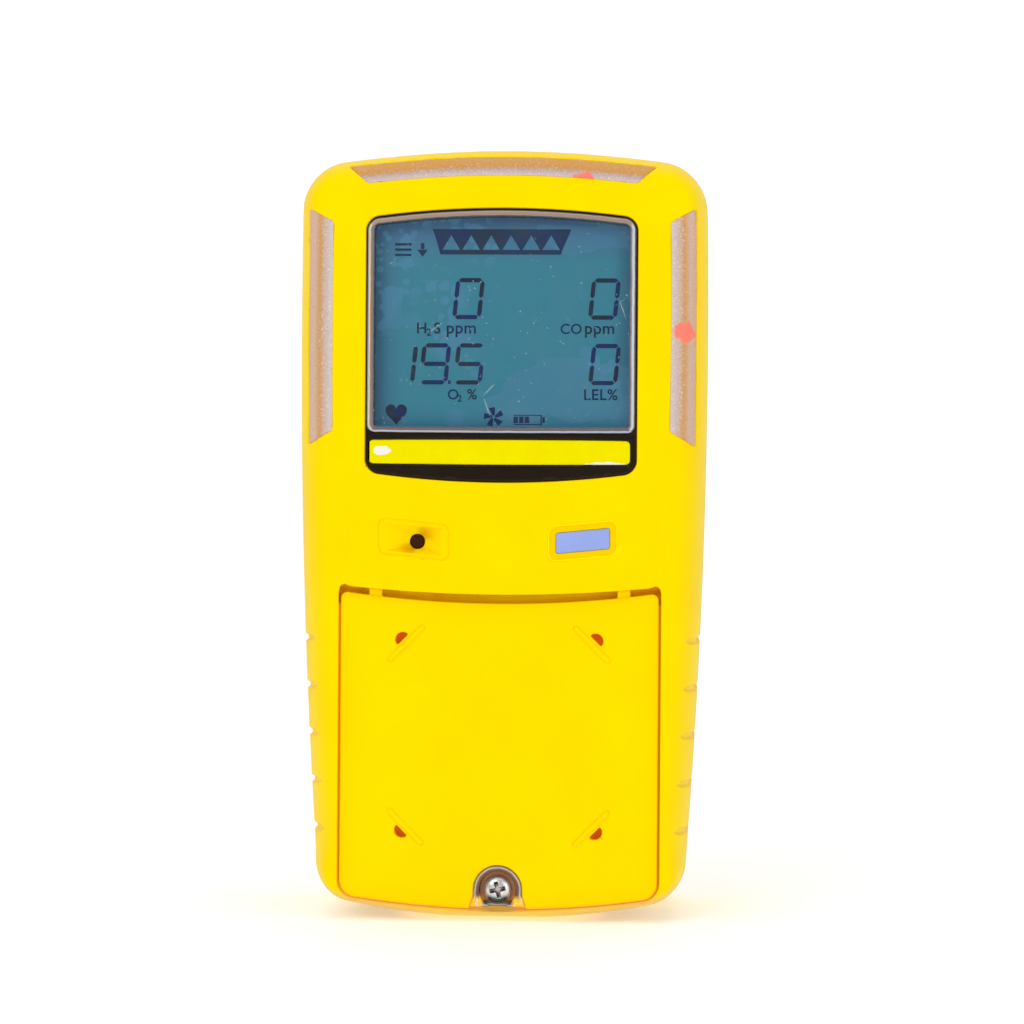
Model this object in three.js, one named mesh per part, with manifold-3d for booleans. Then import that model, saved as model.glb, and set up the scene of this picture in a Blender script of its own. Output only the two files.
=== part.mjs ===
// A portable four-gas detector: a two-piece yellow case with three alarm light bars, a framed
// display, a sounder port and one button, a tilting sensor cover held by one captive screw, a
// belt clip, and a bayonet cap over the pump's inlet filter.
// Millimetres. X is across, Z is up, the front faces -Y, and the origin is under the middle.
import * as THREE from "three";
import { mergeVertices } from "three/addons/utils/BufferGeometryUtils.js";
import Module from "manifold-3d";

const wasm = await Module();
wasm.setup();

// ---------------------------------------------------------------- driving dimensions
const WIDTH = 70;
const HEIGHT = 131;
const RIB_FRONT = -26; // front of the small ribs on the sensor cover
const CLIP_BACK = 26; // back of the clip's thumb pad
const FRONT = RIB_FRONT + 0.3; // front face of the case
const BACK = 16; // back face of the case
const PARTING = -4; // where the two case shells meet
const PARTING_GAP = 0.3;
const WALL = 2.2;
const GAP = 0.3; // clearance between a piece and the pocket that holds it

// Outline of the case, seen from the front
const SIDE_RADIUS = 1277;
const WIDEST_Z = 99.5;
const TOP_RADIUS = 187;
const BASE_RADIUS = 129;
const BASE_HALF = 8; // half-width of the flat foot
const TOP_CORNER = 7.2;
const BASE_CORNER = 5.5;

// Rounding of the front and rear edges
const FRONT_EDGE = FRONT + 9;
const REAR_EDGE = BACK - 5;
const REAR_ROUND = 4;
const DRAFT = 0.25;
const BASE_ROUND = 1.4; // how far the front edge's rounding reaches in along the base
const FRONT_ROUND = 5.8; // and along the sides and the top
const BUMPER_ROUND = 3.8; // and over the two top corners

// Display, buttons and sensors
// A panel's top and base are each given as [half width, height, bow radius, corner radius].
function panelShape([halfTop, top, topRadius, topCorner], [halfBase, base, baseRadius, baseCorner]) {
  return { halfTop, top, topRadius, topCorner, halfBase, base, baseRadius, baseCorner };
}
const FRAME = panelShape([22.8, 120.1, 160, 2.2], [22.8, 74, 160, 2.2]);
const WINDOW = panelShape([22.2, 119.6, 160, 1.8], [22.2, 82.3, 4000, 1.4]);
const WINDOW_LEDGE = 0.8; // how far the frame reaches in under the window
const PLATE = panelShape([21.9, 81.15, 2000, 0.8], [21.9, 76.7, 2000, 0.8]);
const COVER = panelShape([26.9, 53.5, -184, 1.3], [26.9, 1.9, 165, 2.4]);
const COVER_OPENING = panelShape([27.25, 55, -255, 1.3], [27.25, 1.55, 165, 2.75]);
const COVER_THICK = 1.8;
const HINGE = { y: FRONT + 1, z: 55 }; // the sensor cover tilts about its two top tabs
const TAB_X = 21;
const SOUNDER = { x: -14.1, z: 63.9 };
const HORN = { x: -14.6, z: 64.3 }; // middle of the sounder port's rectangular mouth
const BUTTON = { x: 14, z: 64.2 };
const SLANT = 0.1; // the sounder port and the button lean with the curve of the cover's top edge
const SENSOR = { x: 12, z: 31.9, rise: 11.2, radius: 9.6 };
const PORT = { x: 16.3, rise: 16.1, z: 31.2, radius: 1.25 }; // the four half-moon ports, from their middle
const COVER_SCREW_Z = 5.2;
const NOTCHES = { count: 5, top: 47.4, pitch: 8.07, radius: 0.65, depth: [-19, 17] };
const CASE_SCREWS = { x: 25.2, low: 10, high: 119.5 };
const LIGHTS = { top: { inset: 1.8, width: 3.4 }, side: { inset: 2.1, width: 4.3 } };
const INLET = { x: 0, z: 34 };
const CLIP = { y: 21, z: 108, screwZ: 97 };

// Levels through the case, front to back
const COVER_BACK = FRONT + COVER_THICK;
const LEDGE = [COVER_BACK + 0.9, COVER_BACK + 2.7];
const BOARD = [-16.4, -14.8];

// ---------------------------------------------------------------- materials
const finish = (color, roughness, metalness = 0, opacity = 1) =>
  new THREE.MeshStandardMaterial({ color, roughness, metalness, opacity, transparent: opacity < 1 });
const YELLOW = finish(0xffdf00, 0.45);
const FROSTED = finish(0xcbb49c, 0.5, 0, 0.7);
const CLEAR = finish(0xe8eef0, 0.05, 0, 0.35);
const BLACK_GLOSS = finish(0x141414, 0.15);
const BLACK = finish(0x1c1c1c, 0.6);
const LABEL = finish(0xf2e300, 0.35);
const LILAC = finish(0x9aaae8, 0.5);
const GLASS = finish(0x3f7f8f, 0.2);
const WHITE = finish(0xe8e8e4, 0.6);
const BOARD_GREEN = finish(0x1d5c3a, 0.5);
const STEEL = finish(0xb8babd, 0.3, 1);
const BRASS = finish(0xc9a24a, 0.35, 1);
const GOLD = finish(0xd8b048, 0.3, 1);
const LED_RED = finish(0xd83a2a, 0.3);
const RUBBER = finish(0x262626, 0.8);
const BATTERY_WRAP = finish(0x2d4f7c, 0.4);
const DARK_RED = finish(0x2a0608, 0.15);
const TUBE = finish(0xd9dcd6, 0.4, 0, 0.6);

// ---------------------------------------------------------------- solids
// A three.js geometry as a manifold solid, ready to be joined or cut.
function solidOf(geometry) {
  const bare = geometry.index ? geometry.toNonIndexed() : geometry.clone();
  bare.deleteAttribute("normal");
  bare.deleteAttribute("uv");
  const merged = mergeVertices(bare, 1e-4);
  const mesh = new wasm.Mesh({
    numProp: 3,
    vertProperties: new Float32Array(merged.attributes.position.array),
    triVerts: new Uint32Array(merged.index.array),
  });
  return new wasm.Manifold(mesh);
}

function geometryOf(solid) {
  const mesh = solid.getMesh();
  const geometry = new THREE.BufferGeometry();
  geometry.setAttribute("position", new THREE.BufferAttribute(new Float32Array(mesh.vertProperties), 3));
  geometry.setIndex(new THREE.BufferAttribute(new Uint32Array(mesh.triVerts), 1));
  geometry.computeVertexNormals();
  return geometry;
}

const join = (first, ...others) => others.reduce((whole, piece) => whole.add(piece), first);
const cut = (first, ...others) => others.reduce((whole, piece) => whole.subtract(piece), first);

// A box from its limits along each axis.
function block([x0, x1], [y0, y1], [z0, z1]) {
  const geometry = new THREE.BoxGeometry(x1 - x0, y1 - y0, z1 - z0);
  return solidOf(geometry.translate((x0 + x1) / 2, (y0 + y1) / 2, (z0 + z1) / 2));
}

// A cylinder or cone along Y, with its radius at the low and the high end.
function rodY(radius, [y0, y1], x = 0, z = 0, sides = 24, farRadius = radius) {
  const geometry = new THREE.CylinderGeometry(farRadius, radius, y1 - y0, sides);
  return solidOf(geometry.translate(x, (y0 + y1) / 2, z));
}

// A cylinder along X.
function rodX(radius, [x0, x1], y = 0, z = 0, sides = 20) {
  const geometry = new THREE.CylinderGeometry(radius, radius, x1 - x0, sides).rotateZ(Math.PI / 2);
  return solidOf(geometry.translate((x0 + x1) / 2, y, z));
}

// A turned piece about the Y axis, from a closed profile of [radius, y] points.
function turned(profile, sides = 24) {
  const points = profile.map(([radius, y]) => new THREE.Vector2(radius, y));
  return solidOf(new THREE.LatheGeometry(points, sides));
}

// An outline of [x, z] points carried along Y.
function prism(outline, [y0, y1]) {
  const shape = new THREE.Shape(outline.map(([x, z]) => new THREE.Vector2(x, z)));
  const geometry = new THREE.ExtrudeGeometry(shape, { depth: y1 - y0, bevelEnabled: false });
  return solidOf(geometry.rotateX(Math.PI / 2).translate(0, y1, 0));
}

// A profile of [y, z] points carried along X.
function prismX(profile, [x0, x1]) {
  const shape = new THREE.Shape(profile.map(([y, z]) => new THREE.Vector2(y, z)));
  const geometry = new THREE.ExtrudeGeometry(shape, { depth: x1 - x0, bevelEnabled: false });
  const upright = new THREE.Matrix4().makeBasis(
    new THREE.Vector3(0, 1, 0),
    new THREE.Vector3(0, 0, 1),
    new THREE.Vector3(1, 0, 0),
  );
  return solidOf(geometry.applyMatrix4(upright).translate(x0, 0, 0));
}

// Rings of [x, z] points with the same count, joined from one y level to the next.
function loft(levels, rings) {
  const count = rings[0].length;
  const positions = rings.flatMap((ring, i) => ring.flatMap(([x, z]) => [x, levels[i], z]));
  const faces = [];
  for (let i = 0; i + 1 < rings.length; i++) {
    for (let j = 0; j < count; j++) {
      const a = i * count + j;
      const b = i * count + ((j + 1) % count);
      faces.push(a, a + count, b + count, a, b + count, b);
    }
  }
  const last = (rings.length - 1) * count;
  for (const [start, wanted] of [[0, 1], [last, -1]]) {
    const ring = rings[start / count].map(([x, z]) => new THREE.Vector2(x, z));
    for (const [a, b, c] of THREE.ShapeUtils.triangulateShape(ring, [])) {
      const turn = ring[b].clone().sub(ring[a]).cross(ring[c].clone().sub(ring[a]));
      const order = turn * wanted > 0 ? [a, b, c] : [a, c, b];
      faces.push(...order.map((corner) => start + corner));
    }
  }
  const geometry = new THREE.BufferGeometry();
  geometry.setAttribute("position", new THREE.Float32BufferAttribute(positions, 3));
  geometry.setIndex(faces);
  return solidOf(geometry);
}

// ---------------------------------------------------------------- outlines as distance functions
// Each is a function of x and z that is negative inside, zero on the outline and positive outside.
const unit = (value) => Math.min(Math.max(value, 0), 1);
const smooth = (low, high, value) => {
  const t = unit((value - low) / (high - low));
  return t * t * (3 - 2 * t);
};
const mix = (a, b, t) => a + (b - a) * t;

// Two walls meeting in a corner of the given radius.
function corner(a, b, radius) {
  return Math.min(Math.max(a, b), -radius) + Math.hypot(Math.max(a + radius, 0), Math.max(b + radius, 0));
}

function caseOutline(x, z) {
  const side = Math.abs(x) - (WIDTH / 2 - (z - WIDEST_Z) ** 2 / (2 * SIDE_RADIUS));
  const top = z - (HEIGHT - x ** 2 / (2 * TOP_RADIUS));
  const base = Math.max((x ** 2 - BASE_HALF ** 2) / (2 * BASE_RADIUS), 0) - z;
  return Math.max(corner(side, top, TOP_CORNER), corner(side, base, BASE_CORNER));
}

// A panel with tapering sides and bowed ends; a negative radius bows the end inwards.
function panelOutline(panel, grow = 0) {
  return (x, z) => {
    const along = (z - panel.base) / (panel.top - panel.base);
    const side = Math.abs(x) - mix(panel.halfBase, panel.halfTop, along) - grow;
    const over = z - (panel.top + grow - x ** 2 / (2 * panel.topRadius));
    const under = panel.base - grow + x ** 2 / (2 * panel.baseRadius) - z;
    return Math.max(corner(side, over, panel.topCorner), corner(side, under, panel.baseCorner));
  };
}

// A leaning, rounded rectangle such as the button's.
function slantedOutline(centre, slant, half, radius) {
  return (x, z) => {
    const across = Math.abs(x - centre.x) - half[0];
    const up = Math.abs(z - centre.z - slant * (x - centre.x)) - half[1];
    return corner(across, up, radius);
  };
}

// Walks once round an outline, from rays that stand square on its straights and fan out at its corners.
function trace(distance, core, steps = { side: 8, end: 8, corner: 5 }) {
  const points = [];
  const cast = (x, z, angle) => {
    let inside = 0;
    let outside = 60;
    for (let i = 0; i < 40; i++) {
      const middle = (inside + outside) / 2;
      if (distance(x + middle * Math.cos(angle), z + middle * Math.sin(angle)) < 0) inside = middle;
      else outside = middle;
    }
    points.push([x + inside * Math.cos(angle), z + inside * Math.sin(angle)]);
  };
  const [x0, x1, z0, z1] = core;
  const corners = [[x1, z0], [x1, z1], [x0, z1], [x0, z0]];
  corners.forEach(([x, z], k) => {
    const [nextX, nextZ] = corners[(k + 1) % 4];
    const facing = (k * Math.PI) / 2;
    const straight = k % 2 ? steps.end : steps.side;
    for (let i = 0; i < straight; i++) {
      cast(mix(x, nextX, i / straight), mix(z, nextZ, i / straight), facing);
    }
    for (let i = 0; i < steps.corner; i++) cast(nextX, nextZ, facing + ((i / steps.corner) * Math.PI) / 2);
  });
  return points;
}

// The outline of a panel as points.
function panel(shape, grow = 0) {
  const inset = Math.max(shape.topCorner, shape.baseCorner) + 1;
  const sink = Math.max(0, -((shape.halfTop - inset) ** 2) / (2 * shape.topRadius));
  const rise = Math.max(0, (shape.halfBase - inset) ** 2 / (2 * shape.baseRadius));
  const drop = shape.topRadius > 0 ? (shape.halfTop - inset) ** 2 / (2 * shape.topRadius) : -sink;
  const half = Math.min(shape.halfTop, shape.halfBase) - inset;
  const core = [-half, half, shape.base + rise + inset * 0.6, shape.top - drop - sink - inset * 0.6];
  return trace(panelOutline(shape, grow), core, { side: 2, end: 8, corner: 3 });
}

function slanted(centre, slant, half, radius) {
  const core = [centre.x - half[0] / 2, centre.x + half[0] / 2, centre.z - 0.2, centre.z + 0.2];
  return trace(slantedOutline(centre, slant, half, radius), core, { side: 1, end: 3, corner: 4 });
}

// ---------------------------------------------------------------- the case's skin
// How far the front edge's rounding reaches in: least along the base and over the top corners.
function frontRound(x, z) {
  const bumper = 1 - smooth(5, 13, Math.hypot(Math.abs(x) - 31, z - 125));
  return mix(mix(BASE_ROUND, FRONT_ROUND, smooth(3, 16, z)), BUMPER_ROUND, bumper);
}

// How far the skin stands inside the case outline at a depth y, for a skin sunk by `sink`. The sides
// and top draw in from the parting plane; the foot stays flat.
function skinInset(x, y, z, sink) {
  const front = unit((FRONT_EDGE - y + sink) / (FRONT_EDGE - FRONT));
  const rear = unit((y + sink - REAR_EDGE) / (BACK - REAR_EDGE));
  const draft = (smooth(2, 14, z) * DRAFT * Math.abs(y - PARTING)) / (PARTING - FRONT);
  const quarter = (t) => 1 - Math.sqrt(1 - t ** 2);
  return sink + draft + frontRound(x, z) * quarter(front) + REAR_ROUND * quarter(rear);
}

const CASE_CORE = [-23, 23, 14, 117];
const CASE_STEPS = { side: 7, end: 6, corner: 4 };

function skinRing(y, sink) {
  return trace((x, z) => caseOutline(x, z) + skinInset(x, y, z, sink), CASE_CORE, CASE_STEPS);
}

// The case's skin, sunk by `sink`, from one depth to another.
function skin(sink, from, to) {
  const front = FRONT + sink;
  const back = BACK - sink;
  const levels = [
    ...[0.05, 0.18, 0.4, 0.7, 1].map((t) => mix(front, FRONT_EDGE + sink, t)),
    ...[0, 0.4, 0.8].map((t) => mix(REAR_EDGE - sink, back, t)),
  ];
  const kept = [from, ...levels.filter((y) => y > from + 0.05 && y < to - 0.05), to];
  return loft(kept, kept.map((y) => skinRing(y, sink)));
}

// A prism of the plain case outline, inset by a distance.
function outlinePrism(inset, depth) {
  return prism(trace((x, z) => caseOutline(x, z) + inset, CASE_CORE, CASE_STEPS), depth);
}

// The slanting ends of each alarm light, as [x, z] corners of a region that crosses the front edge.
function lightEnds(side, clearance) {
  const trim = clearance * Math.SQRT2;
  if (side === "top") {
    return [[trim - 17.1, 119.5], [17.1 - trim, 119.5], [34.3 - trim, 134.5], [trim - 34.3, 134.5]];
  }
  const sign = side === "left" ? -1 : 1;
  const ends = [[38, 77.1 + trim], [24, 85.3 + trim], [24, 115.5 - trim], [38, 123.2 - trim]];
  return ends.map(([x, z]) => [sign * x, z]);
}

// The band of front edge that an alarm light fills.
function lightBand(side, clearance, [y0, y1]) {
  const { inset, width } = side === "top" ? LIGHTS.top : LIGHTS.side;
  const outer = outlinePrism(inset + clearance, [y0, y1]);
  const inner = outlinePrism(inset + width - clearance, [y0 - 1, y1 + 1]);
  return cut(outer, inner).intersect(prism(lightEnds(side, clearance), [y0, y1]));
}

// ---------------------------------------------------------------- case shells
const SEAL_GROOVE = { inset: 1, width: 0.8, half: 0.9 };

function sealRing(clearance) {
  const { inset, width, half } = SEAL_GROOVE;
  const depth = [PARTING - half + clearance, PARTING + half - clearance];
  const outer = outlinePrism(inset + clearance, depth);
  return cut(outer, outlinePrism(inset + width - clearance, [depth[0] - 1, depth[1] + 1]));
}

function gripNotches() {
  const notches = [];
  for (let i = 0; i < NOTCHES.count; i++) {
    const z = NOTCHES.top - i * NOTCHES.pitch;
    const half = WIDTH / 2 - (z - WIDEST_Z) ** 2 / (2 * SIDE_RADIUS);
    for (const side of [-1, 1]) notches.push(rodY(NOTCHES.radius, NOTCHES.depth, side * half, z, 8));
  }
  return notches;
}

const screwPlaces = [-1, 1].flatMap((side) =>
  [CASE_SCREWS.low, CASE_SCREWS.high].map((z) => ({ x: side * CASE_SCREWS.x, z })),
);

// One screw boss of the front shell, with the web that ties it to the side wall.
function frontBoss({ x, z }, shellBack) {
  const foot = z > 60 ? -17 : LEDGE[1] - 0.2;
  const reach = [x, x + Math.sign(x) * 9].sort((a, b) => a - b);
  const web = block(reach, [-13.5, shellBack], [z - 0.6, z + 0.6]);
  return rodY(3.2, [foot, shellBack], x, z, 16).add(web);
}

// The slot above the cover that one of its hinge tabs turns in.
function tabSlot(side) {
  const middle = side * TAB_X;
  return block([middle - 1.5, middle + 1.5], [FRONT + 0.35, LEDGE[0]], [53, 57.2]);
}

function makeFrontShell() {
  const shellBack = PARTING - PARTING_GAP / 2;
  const outer = skin(0, FRONT, shellBack);
  const room = skin(WALL, FRONT + WALL, PARTING + 1);
  const above = block([-40, 40], [-40, 10], [58.3, 140]);
  const behind = block([-40, 40], [LEDGE[1], 10], [-5, 60]);
  const hollow = cut(outer, room.intersect(above), room.intersect(behind));
  const bosses = screwPlaces.map((place) => frontBoss(place, shellBack).intersect(outer));
  const insertBoss = rodY(3.9, [LEDGE[1] - 0.2, -16], 0, COVER_SCREW_Z, 20);
  return cut(
    join(hollow, ...bosses, insertBoss),
    prism(panel(FRAME, GAP), [FRONT - 1, FRONT + WALL + 0.5]),
    prism(panel(COVER_OPENING), [FRONT - 1, LEDGE[0]]),
    block([-24.4, 24.4], [LEDGE[0] - 1, LEDGE[1] + 1], [10.8, 53]),
    ...[-1, 1].map(tabSlot),
    rodY(1.8, [LEDGE[0] - 1, -20], 0, COVER_SCREW_Z, 16),
    rodY(2.6, [LEDGE[1], -15], 0, COVER_SCREW_Z, 16),
    ...["top", "left", "right"].map((side) => lightBand(side, 0, [FRONT - 1, -18.5])),
    soundFunnel(),
    rodY(1.25, [FRONT - 1, -20], SOUNDER.x, SOUNDER.z, 20),
    prism(slanted(BUTTON, SLANT, [6, 3.15], 1.6), [FRONT - 1, FRONT + 1.2]),
    prism(slanted(BUTTON, SLANT, [4.9, 2.1], 0.7), [FRONT - 1, FRONT + WALL + 0.5]),
    ...gripNotches(),
    ...screwPlaces.map(({ x, z }) => rodY(1.15, [-14.5, PARTING + 1], x, z, 12)),
    sealRing(0),
  );
}

// The horn in front of the sounder: a leaning rectangle in a shallow rim, narrowing to a round hole.
function soundFunnel() {
  const rim = prism(slanted(HORN, -SLANT, [6, 3.05], 1.3), [FRONT - 1, FRONT + 0.2]);
  const mouth = slanted(HORN, -SLANT, [5.1, 2.5], 0.4);
  const throat = mouth.map(([x, z]) => {
    const angle = Math.atan2(z - SOUNDER.z, x - SOUNDER.x);
    return [SOUNDER.x + 1.3 * Math.cos(angle), SOUNDER.z + 1.3 * Math.sin(angle)];
  });
  return join(rim, loft([FRONT + 0.1, FRONT + 1.8], [mouth, throat]));
}

function makeRearShell() {
  const shellFront = PARTING + PARTING_GAP / 2;
  const outer = skin(0, shellFront, BACK);
  const room = skin(WALL, PARTING - 1, BACK - WALL);
  const bosses = screwPlaces.map(({ x, z }) => rodY(3.4, [shellFront, 15], x, z, 16).intersect(outer));
  const clipBoss = rodY(3.4, [11.6, 15], 0, CLIP.screwZ, 16);
  const barb = rodY(1.9, [10.5, 14], INLET.x, INLET.z, 16);
  const collar = rodY(9, [14, 17.2], INLET.x, INLET.z, 32);
  const pocket = rodY(13, [14.8, 18], INLET.x, INLET.z, 40);
  const body = join(cut(outer, room), ...bosses, clipBoss, barb);
  return cut(
    join(cut(body, pocket), collar),
    rodY(1, [9, 19], INLET.x, INLET.z, 12),
    rodY(1.2, [10, 18], 0, CLIP.screwZ, 12),
    block([-8.3, 8.3], [2.7, 11.3], [-1, 4]),
    block([9.9, 13.1], [4.7, 9.3], [-1, 1.6]),
    ...gripNotches(),
    ...screwPlaces.map(({ x, z }) => rodY(1.45, [-5, 17], x, z, 12)),
    ...screwPlaces.map(({ x, z }) => rodY(2.7, [13, 17], x, z, 20)),
    sealRing(0),
  );
}

// ---------------------------------------------------------------- display
function makeDisplayFrame() {
  const face = prism(panel(FRAME), [FRONT + 0.45, FRONT + WALL + 0.05]);
  const flange = prism(panel(FRAME, 1.3), [FRONT + WALL + 0.05, FRONT + WALL + 1.1]);
  return cut(
    join(face, flange),
    prism(panel(WINDOW, 0.15), [FRONT - 1, FRONT + 1.4]),
    prism(panel(WINDOW, -WINDOW_LEDGE), [FRONT - 1, FRONT + 5]),
    prism(panel(PLATE, 0.15), [FRONT - 1, FRONT + 0.8]),
  );
}

const makeWindow = () => prism(panel(WINDOW), [FRONT, FRONT + 1.35]);
const makeNamePlate = () => prism(panel(PLATE), [FRONT + 0.4, FRONT + 0.75]);

// One alarm light: a curved strip that follows the case's skin just below its surface.
function makeLens(side) {
  const strip = lightBand(side, 0.15, [FRONT - 1, -19]).intersect(skin(0.35, FRONT + 0.35, -17));
  return cut(strip, skin(WALL, FRONT + WALL, -10));
}

// ---------------------------------------------------------------- button and sensor cover
const PRESS_TRAVEL = 0.8;

function makeButtonSurround() {
  const plate = prism(slanted(BUTTON, SLANT, [5.8, 2.95], 1.5), [FRONT + 0.15, FRONT + 1.1]);
  return cut(plate, prism(slanted(BUTTON, SLANT, [4.75, 1.95], 0.6), [FRONT - 1, FRONT + 3]));
}

function makeButton() {
  return join(
    prism(slanted(BUTTON, SLANT, [4.5, 1.7], 0.4), [FRONT + 0.05, FRONT + WALL + 0.2]),
    prism(slanted(BUTTON, SLANT, [5.6, 2.9], 0.6), [FRONT + WALL + 0.2, FRONT + WALL + 0.9]),
    rodY(1.6, [FRONT + WALL + 0.9, -21.9], BUTTON.x, BUTTON.z, 16),
  );
}

// The arched recess round the cover screw, open at the cover's lower edge.
function archOutline(radius, base) {
  const points = [[radius, base]];
  for (let i = 0; i <= 14; i++) {
    const angle = (Math.PI * i) / 14;
    points.push([radius * Math.cos(angle), COVER_SCREW_Z + radius * Math.sin(angle)]);
  }
  return [...points, [-radius, base]];
}

// Turns a piece whose +Z points away from the cover's middle, and carries it to one port.
function atPort(piece, sx, sz) {
  const turn = Math.atan2(-sx, sz) * (180 / Math.PI);
  return piece.rotate([0, -turn, 0]).translate([sx * PORT.x, 0, PORT.z + sz * PORT.rise]);
}

// One half-moon port: the half of a round hole that lies outside its rib.
function halfMoon(sx, sz) {
  const hole = rodY(PORT.radius, [FRONT - 1, COVER_BACK + 1], 0, 0, 20);
  const covered = block([-3, 3], [FRONT - 2, COVER_BACK + 2], [-3, 0]);
  return atPort(cut(hole, covered), sx, sz);
}

function portRib(sx, sz) {
  const rib = block([-4.1, 4.1], [RIB_FRONT, FRONT + 0.5], [-1.2, -0.45]);
  return atPort(rib, sx, sz);
}

const quarters = [-1, 1].flatMap((sx) => [-1, 1].map((sz) => [sx, sz]));

function makeSensorCover() {
  const plate = prism(panel(COVER), [FRONT, COVER_BACK]);
  const tabs = [-1, 1].map((side) => {
    const middle = side * TAB_X;
    return block([middle - 1.1, middle + 1.1], [FRONT + 0.65, FRONT + 1.35], [53.5, 56.3]);
  });
  return cut(
    join(plate, ...quarters.map(([sx, sz]) => portRib(sx, sz)), ...tabs),
    prism(archOutline(4.15, -1), [FRONT - 2, COVER_BACK + 1]),
    ...quarters.map(([sx, sz]) => halfMoon(sx, sz)),
  );
}

function makeScrewRetainer() {
  const arch = prism(archOutline(4, 2.3), [FRONT + 0.2, COVER_BACK + 0.7]);
  return cut(
    arch,
    rodY(3.1, [FRONT - 1, FRONT + 1.6], 0, COVER_SCREW_Z, 28),
    rodY(1.35, [FRONT - 1, COVER_BACK + 2], 0, COVER_SCREW_Z, 16),
  );
}

// A cross-recessed pan-head screw standing along Y, its head's underside at y = 0.
function panScrew(headRadius, headHeight, shankRadius, length) {
  const dome = [[0, -1], [0.55, -0.93], [0.88, -0.62], [1, -0.2], [1, 0]];
  const shank = [[shankRadius, 0], [shankRadius, length - 0.4], [shankRadius * 0.6, length], [0, length]];
  const profile = [...dome.map(([radius, y]) => [radius * headRadius, y * headHeight]), ...shank];
  const head = turned(profile, 16);
  const arm = headRadius * 0.62;
  const half = headRadius * 0.15;
  const depth = [-headHeight - 1, -headHeight * 0.35];
  return cut(head, block([-arm, arm], depth, [-half, half]), block([-half, half], depth, [-arm, arm]));
}

// ---------------------------------------------------------------- sensors and boards
function makeSensorSeal() {
  const mat = block([-25.4, 25.4], [COVER_BACK + 0.1, LEDGE[0] - 0.1], [6.5, 52.6]);
  const through = [-26, -20];
  const holes = quarters.map(([sx, sz]) => {
    return rodY(8.2, through, sx * SENSOR.x, SENSOR.z + sz * SENSOR.rise, 20);
  });
  return cut(mat, ...holes, rodY(5.2, through, 0, COVER_SCREW_Z, 20));
}

function makeSensor() {
  const nose = [[0, 0], [4.2, 0], [4.2, 0.6], [8.8, 0.6]];
  const can = turned([...nose, [SENSOR.radius, 1.4], [SENSOR.radius, 15.4], [0, 15.4]], 20);
  return join(can, ...[-5, 0, 5].map((x) => rodY(0.7, [15.2, 16.2], x, -3, 6)));
}

function makeMainBoard() {
  const board = block([-28, 28], BOARD, [58.5, 123.4]);
  const through = [BOARD[0] - 1, BOARD[1] + 1];
  const corners = [-1, 1].map((side) => rodY(4, through, side * CASE_SCREWS.x, CASE_SCREWS.high, 20));
  const sideRelief = [-1, 1].map((side) => block([side * 28 - 3, side * 28 + 3], through, [119, 125]));
  return cut(board, ...corners, ...sideRelief);
}

function makeLed() {
  const dome = turned([[0, -2], [0.7, -1.75], [0.95, -1.2], [0.95, -0.5], [0, -0.5]], 16);
  return join(block([-1.5, 1.5], [-0.9, 0.9], [-1.2, 1.2]), dome);
}

// ---------------------------------------------------------------- pump, battery, vibrator
// A round rod of the given radius carried along a curve.
function rodAlong(path, radius, steps, sides = 8) {
  const ring = Array.from({ length: sides }, (_, i) => {
    const angle = (2 * Math.PI * i) / sides;
    return new THREE.Vector2(radius * Math.cos(angle), radius * Math.sin(angle));
  });
  const options = { steps, extrudePath: path, bevelEnabled: false };
  return solidOf(new THREE.ExtrudeGeometry(new THREE.Shape(ring), options));
}

function tubeThrough(points, radius, steps) {
  const path = new THREE.CatmullRomCurve3(points.map((point) => new THREE.Vector3(...point)));
  return rodAlong(path, radius, steps);
}

function makePumpHead() {
  const bracket = cut(block([-7, 9], [0.5, 12], [12, 30]), block([-5.5, 7.5], [-1, 10.8], [13.5, 24.5]));
  const shaftHole = rodX(1.4, [-8, -4], 5.5, 19);
  const ports = [-5, 6].map((x) => {
    const port = new THREE.CylinderGeometry(1.2, 1.2, 5, 12).rotateX(Math.PI / 2);
    return solidOf(port.translate(x, 6, 31.5));
  });
  return cut(join(bracket, ...ports), shaftHole);
}

// The eccentric on the pump motor's shaft, centred on the shaft.
const makeEccentric = () => join(rodX(0.9, [-4.5, 9], 0, 0, 12), rodX(3, [1, 6], 1.1, 0, 24));

// The half-disc weight and shaft of the vibrator motor.
function makeVibratorWeight() {
  const disc = cut(rodX(2.7, [1.2, 5], 0, 0, 24), block([0, 6], [-4, 4], [0.5, 4]));
  return join(rodX(0.5, [0, 5.6], 0, 0, 10), disc);
}

function makeBattery() {
  const body = block([-25.5, 25.5], [1, 11.2], [46, 106]);
  const edges = [-1, 1].flatMap((side) => [1, 11.2].map((y) => ({ x: side * 25.5, y })));
  const chamfers = edges.map(({ x, y }) =>
    solidOf(new THREE.BoxGeometry(2.4, 2.4, 70).rotateZ(Math.PI / 4).translate(x, y, 76)),
  );
  return cut(body, ...chamfers);
}

// ---------------------------------------------------------------- inlet cap and clip
function makeFilterCap() {
  const skirt = [[2.6, 18.4], [10.8, 18.4], [10.8, 15.2], [12.4, 15.2], [12.4, 19.2], [11.6, 20]];
  const cup = turned([...skirt, [2.6, 20], [2.6, 18.4]], 28);
  const bar = cut(block([-12.2, 12.2], [19.8, 21.6], [-1.1, 1.1]), block([-7.5, 7.5], [19, 22], [-2, 2]));
  return join(cup, bar.intersect(rodY(12.2, [19, 22], 0, 0, 28)));
}

// The hose barb: a turned nozzle held in the middle of the cap.
function makeNozzle() {
  const flange = [[0.9, 17.9], [4, 17.9], [4, 18.3], [2.4, 18.3], [2.4, 20.15]];
  const collar = [[3.8, 20.15], [3.8, 21.1], [1.9, 21.5], [1.9, 23.2], [2.4, 23.3]];
  return turned([...flange, ...collar, [1.8, CLIP_BACK], [0.9, CLIP_BACK], [0.9, 17.9]], 16);
}

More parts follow.
